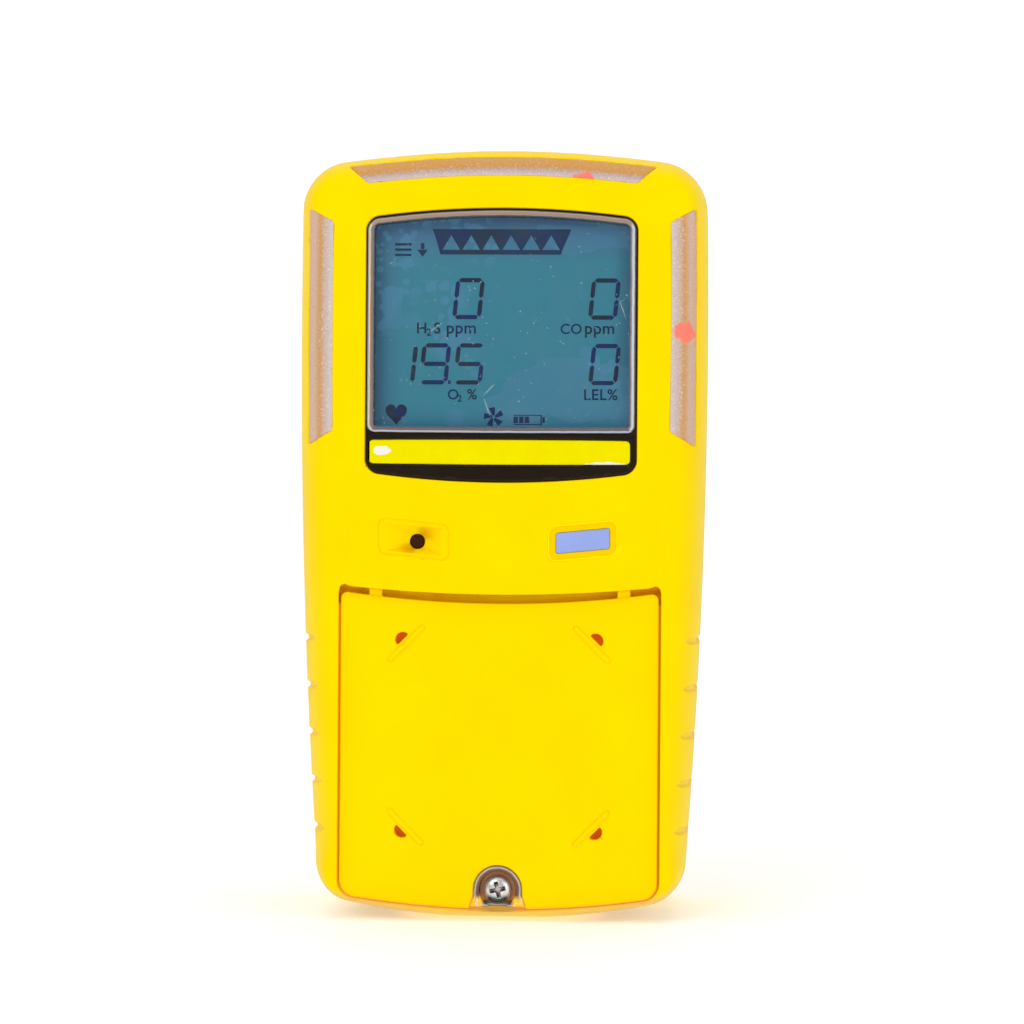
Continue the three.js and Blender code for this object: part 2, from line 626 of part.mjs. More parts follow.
const SHEET = 1; // thickness of the clip's steel

function makeClipBracket() {
  const plate = block([-8, 8], [BACK + 0.1, BACK + 0.1 + SHEET], [75, 121]);
  const root = BACK + 0.6;
  const earShape = [[root, 102], [20, 102], [23.2, 105.8], [23.2, 110.2], [20, 114], [root, 114]];
  const ears = [-1, 1].map((side) => {
    const ear = prismX(earShape, [side * 7.5 - 0.5, side * 7.5 + 0.5]);
    return cut(ear, rodX(1.1, [-9, 9], CLIP.y, CLIP.z, 20));
  });
  return cut(join(plate, ...ears), rodY(1.7, [15, 18], 0, CLIP.screwZ, 16));
}

// The lever's sheet follows this line of [y, z] points, from the thumb pad to the curled jaw.
const LEVER_LINE = [
  [25.4, 127],
  [24.6, 120.5],
  [24.2, 113],
  [24.1, 103],
  [22.6, 95],
  [20, 86],
  [18.25, 80],
  [18.2, 77],
  [19.6, 74],
];

// The lever's line moved sideways by a distance.
function leverFace(distance) {
  return LEVER_LINE.map(([y, z], i) => {
    const [y0, z0] = LEVER_LINE[Math.max(i - 1, 0)];
    const [y1, z1] = LEVER_LINE[Math.min(i + 1, LEVER_LINE.length - 1)];
    const long = Math.hypot(y1 - y0, z1 - z0);
    return [y + ((z0 - z1) / long) * distance, z + ((y1 - y0) / long) * distance];
  });
}

function makeClipLever() {
  const profile = [...leverFace(-SHEET / 2), ...leverFace(SHEET / 2).reverse()];
  const strip = prismX(profile, [-6.3, 6.3]);
  const ears = [-1, 1].map((side) => {
    const earShape = [[24.2, 104], [19.2, 105.6], [19.2, 110.4], [24.2, 112]];
    const ear = prismX(earShape, [side * 5.8 - 0.5, side * 5.8 + 0.5]);
    return cut(ear, rodX(1.1, [-9, 9], CLIP.y, CLIP.z, 20));
  });
  const screwHole = rodY(2.6, [18, 28], 0, CLIP.screwZ, 20);
  return cut(join(strip, ...ears), screwHole);
}

// A torsion spring round the clip's pin, with one leg on the bracket and one on the lever.
class SpringLine extends THREE.Curve {
  getPoint(t) {
    const turns = 4.5;
    const legShare = 0.12; // of the wire, at each end
    const radius = 1.75;
    const along = unit((t - legShare) / (1 - 2 * legShare));
    const angle = Math.PI * (0.5 + 2 * turns * along);
    const leg = Math.max(legShare - t, t - (1 - legShare), 0) / legShare;
    const reach = t < 0.5 ? [-1.9, 5] : [1, -6];
    return new THREE.Vector3(
      mix(-2.4, 2.4, along),
      CLIP.y + radius * Math.cos(angle) + reach[0] * leg,
      CLIP.z + radius * Math.sin(angle) + reach[1] * leg,
    );
  }
}

const makeClipSpring = () => rodAlong(new SpringLine(), 0.32, 48, 6);

// ---------------------------------------------------------------- assembly
const detector = new THREE.Group();

function add(name, solid, material, position = [0, 0, 0], parent = detector) {
  const mesh = new THREE.Mesh(geometryOf(solid), material);
  mesh.name = name;
  mesh.position.set(...position);
  parent.add(mesh);
  return mesh;
}

// Case
add("front_shell", makeFrontShell(), YELLOW);
add("rear_shell", makeRearShell(), YELLOW);
add("shell_seal", sealRing(0.12), RUBBER);
for (const side of ["top", "left", "right"]) add(`alarm_lens_${side}`, makeLens(side), FROSTED);
screwPlaces.forEach(({ x, z }) => {
  const name = `case_screw_${z > 60 ? "upper" : "lower"}_${x < 0 ? "left" : "right"}`;
  add(name, panScrew(2.3, 1.4, 1, 26), STEEL, [x, 13.3, z]).rotation.z = Math.PI;
});

// Display
const display = new THREE.Group();
detector.add(display);
add("display_frame", makeDisplayFrame(), BLACK_GLOSS, [0, 0, 0], display);
add("display_window", makeWindow(), CLEAR, [0, 0, 0], display);
add("name_plate", makeNamePlate(), LABEL, [0, 0, 0], display);
add("lcd_panel", block([-23.5, 23.5], [-0.9, 0.9], [-19.4, 19.4]), GLASS, [0, -21.4, 99.8], display);
add("lcd_backlight", block([-23.5, 23.5], [-1.2, 1.2], [-19.4, 19.4]), WHITE, [0, -19.1, 99.8], display);

// Electronics
const electronics = new THREE.Group();
detector.add(electronics);
const sounderBody = turned([[0, -1.6], [2.2, -1.6], [2.2, -0.8], [6, -0.8], [6, 3], [0, 3]], 28);
const membraneY = FRONT + WALL + 0.5;
const switchBody = join(block([-3, 3], [-1.8, 1.6], [-3, 3]), rodY(1.5, [-2.9, -1], 0, 0, 16));
const ledPlaces = {
  top_left: [-13.8, 121.9],
  top_right: [13.8, 121.9],
  left: [-26, 99.5],
  right: [26, 99.5],
};
add("main_board", makeMainBoard(), BOARD_GREEN, [0, 0, 0], electronics);
add("processor_chip", block([-6, 6], [-0.7, 0.7], [-6, 6]), BLACK, [-8, -14, 90], electronics);
add("sounder", sounderBody, BLACK, [SOUNDER.x, -19.6, SOUNDER.z], electronics);
add("sounder_membrane", rodY(3, [-0.25, 0.25]), BLACK, [SOUNDER.x, membraneY, SOUNDER.z], electronics);
add("button_switch", switchBody, BLACK, [BUTTON.x, -18.1, BUTTON.z], electronics);
for (const [place, [x, z]] of Object.entries(ledPlaces)) {
  add(`alarm_led_${place}`, makeLed(), LED_RED, [x, -17.4, z], electronics);
}
add("button_surround", makeButtonSurround(), YELLOW, [0, 0, 0], electronics);
add("push_button", makeButton(), LILAC, [0, 0, 0], electronics);
add("vibrator_motor", rodX(3, [-4.5, 4.5]), STEEL, [10, -10.6, 70], electronics);
add("vibrator_weight", makeVibratorWeight(), BRASS, [14.7, -10.6, 70], electronics);

// Sensors and their cover
const sensing = new THREE.Group();
detector.add(sensing);
add("sensor_seal", makeSensorSeal(), RUBBER, [0, 0, 0], sensing);
const gases = {
  oxygen: [-1, -1],
  hydrogen_sulfide: [-1, 1],
  combustible: [1, -1],
  carbon_monoxide: [1, 1],
};
for (const [gas, [sx, sz]] of Object.entries(gases)) {
  add(`sensor_${gas}`, makeSensor(), WHITE, [sx * SENSOR.x, -22.9, SENSOR.z + sz * SENSOR.rise], sensing);
}
const sensorBoard = block([-21.4, 21.4], [-0.7, 0.7], [-23.5, 23.5]);
add("sensor_board", sensorBoard, BOARD_GREEN, [0, -5.7, SENSOR.z], sensing);
const insert = turned([[1.5, -20.8], [2.3, -20.8], [2.3, -16.6], [1.5, -16.6], [1.5, -20.8]], 20);
add("screw_insert", insert, BRASS, [0, 0, COVER_SCREW_Z], sensing);
add("sensor_cover", makeSensorCover(), YELLOW, [0, 0, 0], sensing);
add("screw_retainer", makeScrewRetainer(), CLEAR, [0, 0, 0], sensing);
add("cover_screw", panScrew(2.3, 1.45, 1.05, 5.9), STEEL, [0, FRONT + 1.4, COVER_SCREW_Z], sensing);

// Power and pump
const power = new THREE.Group();
detector.add(power);
add("battery_pack", makeBattery(), BATTERY_WRAP, [0, 0, 0], power);
const leadPath = [[20, -1, 104], [20, -3, 107], [19, -8, 108], [18, -14.4, 106]];
add("battery_lead", tubeThrough(leadPath, 0.9, 8), RUBBER, [0, 0, 0], power);
const pumpCan = join(rodX(5.8, [-22, -7.3], 0, 0, 24), rodX(2, [-23.5, -21], 0, 0, 12));
add("pump_motor", pumpCan, STEEL, [0, 5.5, 19], power);
add("pump_head", makePumpHead(), BLACK, [0, 0, 0], power);
add("pump_eccentric", makeEccentric(), BRASS, [-2.3, 5.5, 19], power);
const inletLoop = [[0, 10.1, 34], [0, 8.6, 34.2], [-0.8, 6.6, 37], [-3, 6, 39]];
const inletPath = [...inletLoop, [-5, 6, 36.6], [-5, 6, 34.3]];
const outletLoop = [[6, 6, 34.3], [6, 6, 36.5], [9, 5, 40], [18, 2, 41]];
const outletPath = [...outletLoop, [24.4, -2, 37], [25, -7, 33], [25, -12, 31.5]];
add("inlet_tube", tubeThrough(inletPath, 1.1, 14), TUBE, [0, 0, 0], power);
add("outlet_tube", tubeThrough(outletPath, 1.1, 16), TUBE, [0, 0, 0], power);

// Underside
const contactPlaces = [-4.8, -1.6, 1.6, 4.8];
const contactSlots = contactPlaces.map((x) => block([x - 0.95, x + 0.95], [5.2, 8.8], [-1, 2]));
add("contact_block", cut(block([-8, 8], [3, 11], [0.3, 3.8]), ...contactSlots), BLACK);
contactPlaces.forEach((x, i) => {
  add(`charge_contact_${i + 1}`, block([-0.75, 0.75], [-1.6, 1.6], [-0.6, 0.6]), GOLD, [x, 7, 1.1]);
});
add("infrared_window", block([-1.4, 1.4], [-2, 2], [-0.4, 0.4]), DARK_RED, [11.5, 7, 1.1]);

// Back
const capSeal = turned([[9.3, 16.4], [10.5, 16.4], [10.5, 17.4], [9.3, 17.4], [9.3, 16.4]], 32);
add("cap_seal", capSeal, RUBBER, [INLET.x, 0, INLET.z]);
add("filter_disc", rodY(8.6, [-0.3, 0.3], 0, 0, 32), WHITE, [INLET.x, 17.55, INLET.z]);
add("filter_cap", makeFilterCap(), BLACK, [INLET.x, 0, INLET.z]);
add("hose_nozzle", makeNozzle(), STEEL, [INLET.x, 0, INLET.z]);
add("clip_bracket", makeClipBracket(), STEEL);
add("clip_lever", makeClipLever(), STEEL);
add("clip_pin", rodX(1, [-9, 9], 0, 0, 20), STEEL, [0, CLIP.y, CLIP.z]);
add("clip_spring", makeClipSpring(), STEEL);
add("clip_screw", panScrew(2.4, 1.3, 1.1, 5), STEEL, [0, BACK + 1.2, CLIP.screwZ]).rotation.z = Math.PI;

export default detector;
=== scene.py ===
import math

import bmesh
import bpy
import numpy as np
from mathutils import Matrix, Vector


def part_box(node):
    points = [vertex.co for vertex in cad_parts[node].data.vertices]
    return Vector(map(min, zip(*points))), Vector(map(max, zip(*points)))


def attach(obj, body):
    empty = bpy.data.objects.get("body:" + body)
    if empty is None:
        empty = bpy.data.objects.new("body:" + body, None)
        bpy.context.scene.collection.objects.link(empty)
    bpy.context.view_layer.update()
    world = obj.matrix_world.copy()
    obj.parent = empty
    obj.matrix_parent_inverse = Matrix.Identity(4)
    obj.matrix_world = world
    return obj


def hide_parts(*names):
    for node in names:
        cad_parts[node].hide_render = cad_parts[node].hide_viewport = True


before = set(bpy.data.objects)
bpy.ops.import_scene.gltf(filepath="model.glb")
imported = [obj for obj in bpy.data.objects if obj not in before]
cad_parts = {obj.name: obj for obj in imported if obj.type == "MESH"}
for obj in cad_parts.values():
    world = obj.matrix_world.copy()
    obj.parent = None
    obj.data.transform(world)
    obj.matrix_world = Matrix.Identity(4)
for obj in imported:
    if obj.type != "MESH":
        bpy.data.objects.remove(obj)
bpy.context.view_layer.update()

import openvdb
from mathutils import Matrix, Vector

MM = 0.001

# ---------------------------------------------------------------- dimensions shared with the CAD part
WIDTH = 70
HEIGHT = 131
FRONT = -25.7
BACK = 16.0
PARTING = -4.0
PARTING_GAP = 0.3
WALL = 2.2
SIDE_RADIUS = 1277
WIDEST_Z = 99.5
TOP_RADIUS = 187
BASE_RADIUS = 129
BASE_HALF = 8
TOP_CORNER = 7.2
BASE_CORNER = 5.5
EDGE_DEPTH = 9.0
REAR_ROUND = 4.0
REAR_DEPTH = 5.0
DRAFT = 0.25
BASE_ROUND = 1.4
FRONT_ROUND = 5.8
BUMPER_ROUND = 3.8
# A panel's top and base: half width, height, bow radius and corner radius.
FRAME = ((22.95, 120.3, 160, 2.2), (22.95, 74, 160, 2.2))
WINDOW = ((22.75, 120.05, 160, 1.9), (22.75, 82.25, 4000, 1.4))
WINDOW_OPENING = ((21.57, 118.9, 160, 0.8), (21.6, 83.3, 4000, 0.8))
PLATE = ((22.15, 81.2, 2000, 0.8), (22.15, 76.95, 2000, 0.8))
PLATE_SHIFT = 0.25
COVER = ((26.9, 53.5, -184, 1.3), (26.9, 1.9, 165, 2.4))
COVER_OPENING = ((27.25, 55, -255, 1.3), (27.25, 1.55, 165, 2.75))
COVER_THICK = 1.8
COVER_BACK = FRONT + COVER_THICK
LEDGE = (COVER_BACK + 0.9, COVER_BACK + 2.7)
TAB_X = 21.0
SOUNDER = (-14.1, 63.9)
HORN = (-14.6, 64.3)
LIGHTS = {"top": (1.8, 3.4), "left": (2.1, 4.3), "right": (2.1, 4.3)}
BUTTON = (14.0, 64.2)
SLANT = 0.1
SENSOR_Z = 31.9
PORT_X = 16.3
PORT_RISE = 16.1
PORT_Z = 31.2
COVER_SCREW_Z = 5.2
NOTCHES = [47.4 - 8.07 * i for i in range(5)]
CASE_SCREWS = [(sign * 25.2, z) for sign in (-1, 1) for z in (10.0, 119.5)]
INLET_Z = 34.0
CLIP_Y = 21.0
CLIP_Z = 108.0
CLIP_SCREW_Z = 97.0


# ---------------------------------------------------------------- distances
def smooth(low, high, value):
    t = np.clip((value - low) / (high - low), 0, 1)
    return t * t * (3 - 2 * t)


def mix(a, b, t):
    return a + (b - a) * t


def meet(a, b, radius=0.25):
    """What lies in both, with the edge between them rounded."""
    return np.minimum(np.maximum(a, b), -radius) + np.hypot(
        np.maximum(a + radius, 0), np.maximum(b + radius, 0)
    )


def join(a, b, radius=0.2):
    return -meet(-a, -b, radius)


def cut(a, tool, radius=0.25):
    return meet(a, -tool, radius)


def block(p, across, deep, up, radius=0.2):
    spans = [
        np.abs(q - (low + high) / 2) - (high - low) / 2 + radius
        for q, (low, high) in zip(p, (across, deep, up))
    ]
    inside = np.minimum(np.maximum(np.maximum(spans[0], spans[1]), spans[2]), 0)
    outside = np.sqrt(sum(np.maximum(span, 0) ** 2 for span in spans))
    return inside + outside - radius


def rod(p, radius, deep, centre=(0, 0), edge=0.15):
    """A cylinder along Y."""
    return meet(np.hypot(p[0] - centre[0], p[2] - centre[1]) - radius, span(p[1], deep), edge)


def span(value, limits):
    return np.abs(value - (limits[0] + limits[1]) / 2) - (limits[1] - limits[0]) / 2


def slab(outline, p, deep, edge=0.2):
    """An outline carried along Y."""
    return meet(outline, span(p[1], deep), edge)


def case_outline(x, z):
    side = np.abs(x) - (WIDTH / 2 - (z - WIDEST_Z) ** 2 / (2 * SIDE_RADIUS))
    top = z - (HEIGHT - x**2 / (2 * TOP_RADIUS))
    base = np.maximum((x**2 - BASE_HALF**2) / (2 * BASE_RADIUS), 0) - z
    return np.maximum(meet(side, top, TOP_CORNER), meet(side, base, BASE_CORNER))


def panel(shape, x, z, grow=0.0):
    """A panel with tapering sides and bowed ends; a negative radius bows the end inwards."""
    (half_top, top, top_radius, top_corner), (half_base, base, base_radius, base_corner) = shape
    side = np.abs(x) - mix(half_base, half_top, (z - base) / (top - base)) - grow
    over = z - (top + grow - x**2 / (2 * top_radius))
    under = base - grow + x**2 / (2 * base_radius) - z
    return np.maximum(meet(side, over, top_corner), meet(side, under, base_corner))


def leaning(x, z, centre, slant, half, radius):
    return meet(
        np.abs(x - centre[0]) - half[0], np.abs(z - centre[1] - slant * (x - centre[0])) - half[1], radius
    )


def rounded_edge(outline, depth, wide, deep):
    """The edge between an outline and a face, rounded as a quarter of an ellipse."""
    u = outline / wide + 1
    v = depth / deep + 1
    reach = np.hypot(np.maximum(u, 0), np.maximum(v, 0))
    safe = np.maximum(reach, 1e-3)
    slope = np.hypot(np.maximum(u, 0) / (safe * wide), np.maximum(v, 0) / (safe * deep))
    near = (reach - 1) / np.maximum(slope, 1e-3)
    return np.where((u <= 0) & (v <= 0), -np.minimum(wide, deep), near)


def case(p, sink=0.0):
    x, y, z = p
    outline = case_outline(x, z) + sink
    bumper = 1 - smooth(5, 13, np.hypot(np.abs(x) - 31, z - 125))
    front_round = mix(mix(BASE_ROUND, FRONT_ROUND, smooth(3, 16, z)), BUMPER_ROUND, bumper)
    drawn = outline + smooth(2, 14, z) * DRAFT * np.abs(y - PARTING) / (PARTING - FRONT)
    front = rounded_edge(drawn, FRONT + sink - y, front_round, EDGE_DEPTH)
    rear = rounded_edge(drawn, y - BACK + sink, REAR_ROUND, REAR_DEPTH)
    return np.maximum(front, rear)


def light_band(p, side, clearance):
    x, y, z = p
    start, wide = LIGHTS[side]
    band = np.abs(-case_outline(x, z) - start - wide / 2) - wide / 2 + clearance
    if side == "top":
        ends = (np.abs(x) - 17.1 - (z - 119.5) * 1.147) / 1.52
        ends = np.maximum(ends, 110 - z) + clearance
    else:
        across = np.abs(x) - 24
        upper = (z - 115.5 - across * 7.7 / 14) * 0.876
        lower = (85.3 - across * 8.2 / 14 - z) * 0.863
        sign = -1 if side == "left" else 1
        ends = np.maximum(np.maximum(upper, lower) + clearance, 5 - sign * x)
    return meet(band, ends, 0.4)


# ---------------------------------------------------------------- surfaces of distances
def gradient(distance, points, step=0.02):
    slopes = np.empty_like(points)
    for axis in range(3):
        ahead = points.copy()
        behind = points.copy()
        ahead[:, axis] += step
        behind[:, axis] -= step
        slopes[:, axis] = (distance(ahead.T) - distance(behind.T)) / (2 * step)
    return slopes


def ticks(low, high, voxel, fine=()):
    """Grid lines along one axis, closer together inside the fine spans of (low, high, voxel)."""
    spots = [low - 2.5 * voxel]
    while spots[-1] < high + 2.5 * voxel:
        steps = [step for start, end, step in fine if start - voxel < spots[-1] < end]
        spots.append(spots[-1] + min([voxel, *steps]))
    return np.array(spots, np.float32)


def surface(name, distance, low, high, voxel, adaptivity=0.012, fine=((), (), ())):
    """A closed mesh of the places where the distance is zero, with the distance's own normals."""
    reach = 3 * voxel
    axes = [ticks(low[i], high[i], voxel, fine[i]) for i in range(3)]
    values = np.empty([len(a) for a in axes], np.float32)
    for start in range(0, len(axes[0]), 24):
        x = axes[0][start : start + 24, None, None]
        values[start : start + 24] = np.clip(
            distance((x, axes[1][None, :, None], axes[2][None, None, :])), -reach, reach
        )
    grid = openvdb.FloatGrid(reach)
    grid.copyFromArray(values)
    points, triangles, quads = grid.convertToPolygons(isovalue=0.0, adaptivity=adaptivity)
    points = np.stack([np.interp(points[:, i], np.arange(len(axes[i])), axes[i]) for i in range(3)], axis=1)
    for _ in range(4):
        slopes = gradient(distance, points)
        size = np.maximum((slopes**2).sum(1), 0.05)
        points -= np.clip(distance(points.T) / size, -voxel / 2, voxel / 2)[:, None] * slopes
    mesh = bpy.data.meshes.new(name)
    faces = [list(map(int, f)) for f in triangles] + [list(map(int, f)) for f in quads]
    mesh.from_pydata(points * MM, [], faces)
    made = bmesh.new()
    made.from_mesh(mesh)
    bmesh.ops.recalc_face_normals(made, faces=made.faces)
    if made.calc_volume(signed=True) < 0:
        bmesh.ops.reverse_faces(made, faces=made.faces)
    made.to_mesh(mesh)
    made.free()
    corners = np.array([v.co for v in mesh.vertices]) / MM
    normals = gradient(distance, corners)
    normals /= np.maximum(np.linalg.norm(normals, axis=1), 1e-6)[:, None]
    mesh.polygons.foreach_set("use_smooth", [True] * len(mesh.polygons))
    mesh.normals_split_custom_set_from_vertices(normals.tolist())
    return new_object(name, mesh)


def new_object(name, mesh):
    made = bpy.data.objects.new(name, mesh)
    bpy.context.scene.collection.objects.link(made)
    return made


def place(made, body, material, slot, *nodes):
    """Gives a piece its material, hides the CAD nodes it stands for, and lets it ride on its body."""
    made.data.materials.append(material)
    if nodes:
        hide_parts(*nodes)
    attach(made, body)
    return made


def add_values(made, name, values):
    """A named number or colour at each point, for the material to read."""
    kind, key = ("FLOAT", "value") if values.ndim == 1 else ("FLOAT_COLOR", "color")
    layer = made.data.attributes.new(name, kind, "POINT")
    layer.data.foreach_set(key, values.astype(np.float32).ravel())


def mm_box(node):
    low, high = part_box(node)
    return [c / MM for c in low], [c / MM for c in high]


def moulded(name, node, distance, voxel, material, slot, body="housing", box=None, values=None, **how):
    """A piece meshed from its distances inside its CAD node's box, with named values at its points."""
    low, high = box or mm_box(node)
    made = surface(name, distance, low, high, voxel, **how)
    x, y, z = np.array([v.co for v in made.data.vertices]).T / MM
    for key, value in (values or {}).items():
        add_values(made, key, value(x, y, z))
    return place(made, body, material, slot, node)


# ---------------------------------------------------------------- case shells
def seal_groove(p, spare=0.0):
    middle = 1.4
    return slab(
        np.abs(-case_outline(p[0], p[2]) - middle) - 0.4 - spare, p,
        (PARTING - 0.9 - spare, PARTING + 0.9 + spare), 0.1,
    )


def grip_notches(p):
    x, y, z = p
    nearest = NOTCHES[0] - np.clip(np.round((NOTCHES[0] - z) / 8.07), 0, 4) * 8.07
    groove = np.hypot(case(p), z - nearest) - 0.55
    fade = 0.8 * smooth(10.5, 14.5, y) + 0.8 * (1 - smooth(-24.6, -22.4, y))
    return np.maximum(groove + fade, 24 - np.abs(x))


def front_shell(p):
    x, y, z = p
    solid = meet(case(p), y - (PARTING - PARTING_GAP / 2), 0.25)
    room = case(p, WALL)
    upper_room = meet(room, 58.3 - z, 1)
    lower_room = meet(meet(room, LEDGE[1] - y, 0.5), z - 59, 1)
    solid = cut(solid, np.minimum(upper_room, lower_room), 0.2)
    for sign_x, screw_z in CASE_SCREWS:
        sign = math.copysign(1, sign_x)
        start = -17 if screw_z > 60 else LEDGE[1] - 0.3
        boss = rod(p, 3.2, (start, PARTING - 0.15), (sign_x, screw_z))
        web = block(
            p, sorted((sign_x, sign_x + sign * 8)), (-13.5, PARTING - 0.15), (screw_z - 0.6, screw_z + 0.6),
            0.1,
        )
        web = np.maximum(web, case(p, 1.0))
        solid = join(solid, np.minimum(boss, web), 0.3)
        solid = cut(solid, rod(p, 1.15, (-14.5, 0), (sign_x, screw_z)), 0.15)
    solid = join(solid, rod(p, 3.9, (LEDGE[1] - 0.3, -16), (0, COVER_SCREW_Z)), 0.3)
    solid = cut(solid, slab(panel(FRAME, x, z, 0.07), p, (FRONT - 3, FRONT + WALL + 2)), 0.2)
    solid = cut(solid, slab(panel(COVER_OPENING, x, z), p, (FRONT - 3, LEDGE[0])), 0.3)
    solid = cut(solid, block(p, (-24.4, 24.4), (LEDGE[0] - 3, LEDGE[1] + 2), (10.8, 53), 0.8), 0.2)
    tabs = block((np.abs(x), y, z), (TAB_X - 1.5, TAB_X + 1.5), (FRONT + 0.4, LEDGE[0]), (53, 57.2), 0.15)
    solid = cut(solid, tabs, 0.15)
    solid = cut(solid, rod(p, 1.8, (LEDGE[0] - 2, -19), (0, COVER_SCREW_Z)), 0.15)
    solid = cut(solid, rod(p, 2.6, (LEDGE[1], -15), (0, COVER_SCREW_Z)), 0.15)
    for side in ("top", "left", "right"):
        solid = cut(solid, slab(light_band(p, side, 0), p, (FRONT - 4, -18.5)), 0.06)
    solid = cut(solid, sound_horn(p), 0.12)
    solid = cut(solid, rod(p, 1.28, (FRONT - 2, -19), SOUNDER), 0.15)
    recess = leaning(x, z, BUTTON, SLANT, (5.84, 2.99), 1.44)
    solid = cut(solid, slab(recess, p, (FRONT - 3, FRONT + 1.2)), 0.2)
    hole = leaning(x, z, BUTTON, SLANT, (4.9, 2.1), 0.7)
    solid = cut(solid, slab(hole, p, (FRONT - 3, FRONT + WALL + 2)), 0.2)
    swales = meet(meet(np.abs(np.abs(x) - 26.7) - 0.9, 56 - z, 0.8), z - 66.5, 2.0)
    solid = solid + np.where(y < FRONT + 2, 0.3 * smooth(-0.7, 0.7, -swales), 0)
    solid = cut(solid, grip_notches(p), 0.25)
    return cut(solid, seal_groove(p), 0.1)


def sound_horn(p):
    """The leaning rectangular horn, whose four faces run in to a round hole."""
    x, y, z = p
    depth = np.clip((y - FRONT) / 2.0, -0.2, 1.0)
    rim = slab(leaning(x, z, HORN, -SLANT, (6.0, 3.05), 1.3), p, (FRONT - 3, FRONT + 0.2), 0.1)
    middle_x = mix(HORN[0], SOUNDER[0], depth)
    middle_z = mix(HORN[1], SOUNDER[1], depth)
    across = (np.abs(x - middle_x) - mix(5.1, 1.0, depth)) * 0.4
    up = (np.abs(z - middle_z + SLANT * (1 - depth) * (x - middle_x)) - mix(2.5, 1.0, depth)) * 0.75
    horn = meet(meet(across, up, 0.1), y - FRONT - 2.0, 0.1)
    return np.minimum(rim, horn)


def rear_shell(p):
    x, y, z = p
    front = PARTING + PARTING_GAP / 2
    solid = meet(case(p), front - y, 0.25)
    solid = cut(solid, case(p, WALL), 0.2)
    for place_x, place_z in CASE_SCREWS:
        boss = np.maximum(rod(p, 3.4, (front, 15), (place_x, place_z)), case(p, 0.5))
        solid = join(solid, boss, 0.4)
    solid = join(solid, rod(p, 3.4, (11.6, 15), (0, CLIP_SCREW_Z)), 0.4)
    solid = join(solid, rod(p, 1.9, (10.5, 14), (0, INLET_Z)), 0.3)
    solid = cut(solid, rod(p, 13, (14.8, 19), (0, INLET_Z)), 0.4)
    solid = join(solid, rod(p, 9, (13, 17.2), (0, INLET_Z)), 0.2)
    solid = cut(solid, rod(p, 1, (9, 19), (0, INLET_Z)), 0.15)
    solid = cut(solid, rod(p, 1.2, (10, 18), (0, CLIP_SCREW_Z)), 0.15)
    solid = cut(solid, block(p, (-8.3, 8.3), (2.7, 11.3), (-2, 4), 0.4), 0.3)
    solid = cut(solid, block(p, (9.9, 13.1), (4.7, 9.3), (-2, 1.6), 0.3), 0.25)
    solid = cut(solid, grip_notches(p), 0.25)
    for place_x, place_z in CASE_SCREWS:
        solid = cut(solid, rod(p, 1.45, (-6, 17), (place_x, place_z)), 0.15)
        solid = cut(solid, rod(p, 2.7, (13, 18), (place_x, place_z)), 0.3)
    return cut(solid, seal_groove(p), 0.1)


# ---------------------------------------------------------------- smaller moulded pieces
def lens(side):
    def distance(p):
        solid = meet(slab(light_band(p, side, 0.02), p, (FRONT - 1, -19), 0.1), case(p, 0.06), 0.08)
        return cut(solid, case(p, WALL), 0.1)

    return distance


def display_frame(p):
    x, y, z = p
    face = rounded_edge(panel(FRAME, x, z), FRONT + 0.2 - y, 0.35, 0.35)
    face = meet(face, y - (FRONT + WALL + 0.6), 0.1)
    flange = slab(panel(FRAME, x, z, 1.3), p, (FRONT + WALL + 0.05, FRONT + WALL + 1.1), 0.1)
    solid = join(face, flange, 0.1)
    solid = cut(solid, slab(panel(WINDOW, x, z, 0.03), p, (FRONT - 2, FRONT + 1.4)), 0.06)
    solid = cut(solid, slab(panel(WINDOW_OPENING, x, z), p, (FRONT - 2, FRONT + 5)), 0.12)
    return cut(solid, slab(panel(PLATE, x + PLATE_SHIFT, z, 0.06), p, (FRONT - 2, FRONT + 0.8)), 0.1)


def window(p):
    x, y, z = p
    front = rounded_edge(panel(WINDOW, x, z), FRONT - y, 0.9, 0.6)
    return meet(front, y - (FRONT + 1.35), 0.08)


def name_plate(p):
    x, y, z = p
    return slab(panel(PLATE, x + PLATE_SHIFT, z), p, (FRONT + 0.4, FRONT + 0.75), 0.12)


def button_surround(p):
    x, y, z = p
    outer = rounded_edge(leaning(x, z, BUTTON, SLANT, (5.8, 2.95), 1.4), FRONT + 0.05 - y, 0.6, 0.35)
    plate = meet(outer, y - (FRONT + 1.1), 0.1)
    return cut(plate, slab(leaning(x, z, BUTTON, SLANT, (4.6, 1.8), 0.45), p, (FRONT - 2, FRONT + 4)), 0.1)


def push_button(p):
    x, y, z = p
    cap = rounded_edge(leaning(x, z, BUTTON, SLANT, (4.55, 1.75), 0.4), FRONT + 0.05 - y, 0.4, 0.25)
    cap = meet(cap, y - (FRONT + WALL + 0.5), 0.1)
    flange = slab(
        leaning(x, z, BUTTON, SLANT, (5.6, 2.9), 0.6), p, (FRONT + WALL + 0.2, FRONT + WALL + 0.9), 0.12
    )
    stem = rod(p, 1.6, (FRONT + WALL + 0.5, -21.9), BUTTON)
    return join(join(cap, flange, 0.1), stem, 0.15)


def arch(x, z, radius, base):
    above = np.hypot(x, z - COVER_SCREW_Z) - radius
    beside = np.abs(x) - radius - 0.6 * smooth(4.6, 2.2, z)
    return np.maximum(np.where(z > COVER_SCREW_Z, above, beside), base - z)


def port_axes(x, z, sign_x, sign_z):
    """Distances along a sensor port's flat side, and outwards from it."""
    dx = x - sign_x * PORT_X
    dz = z - PORT_Z - sign_z * PORT_RISE
    return (dx * sign_z - dz * sign_x) / math.sqrt(2), (dx * sign_x + dz * sign_z) / math.sqrt(2)


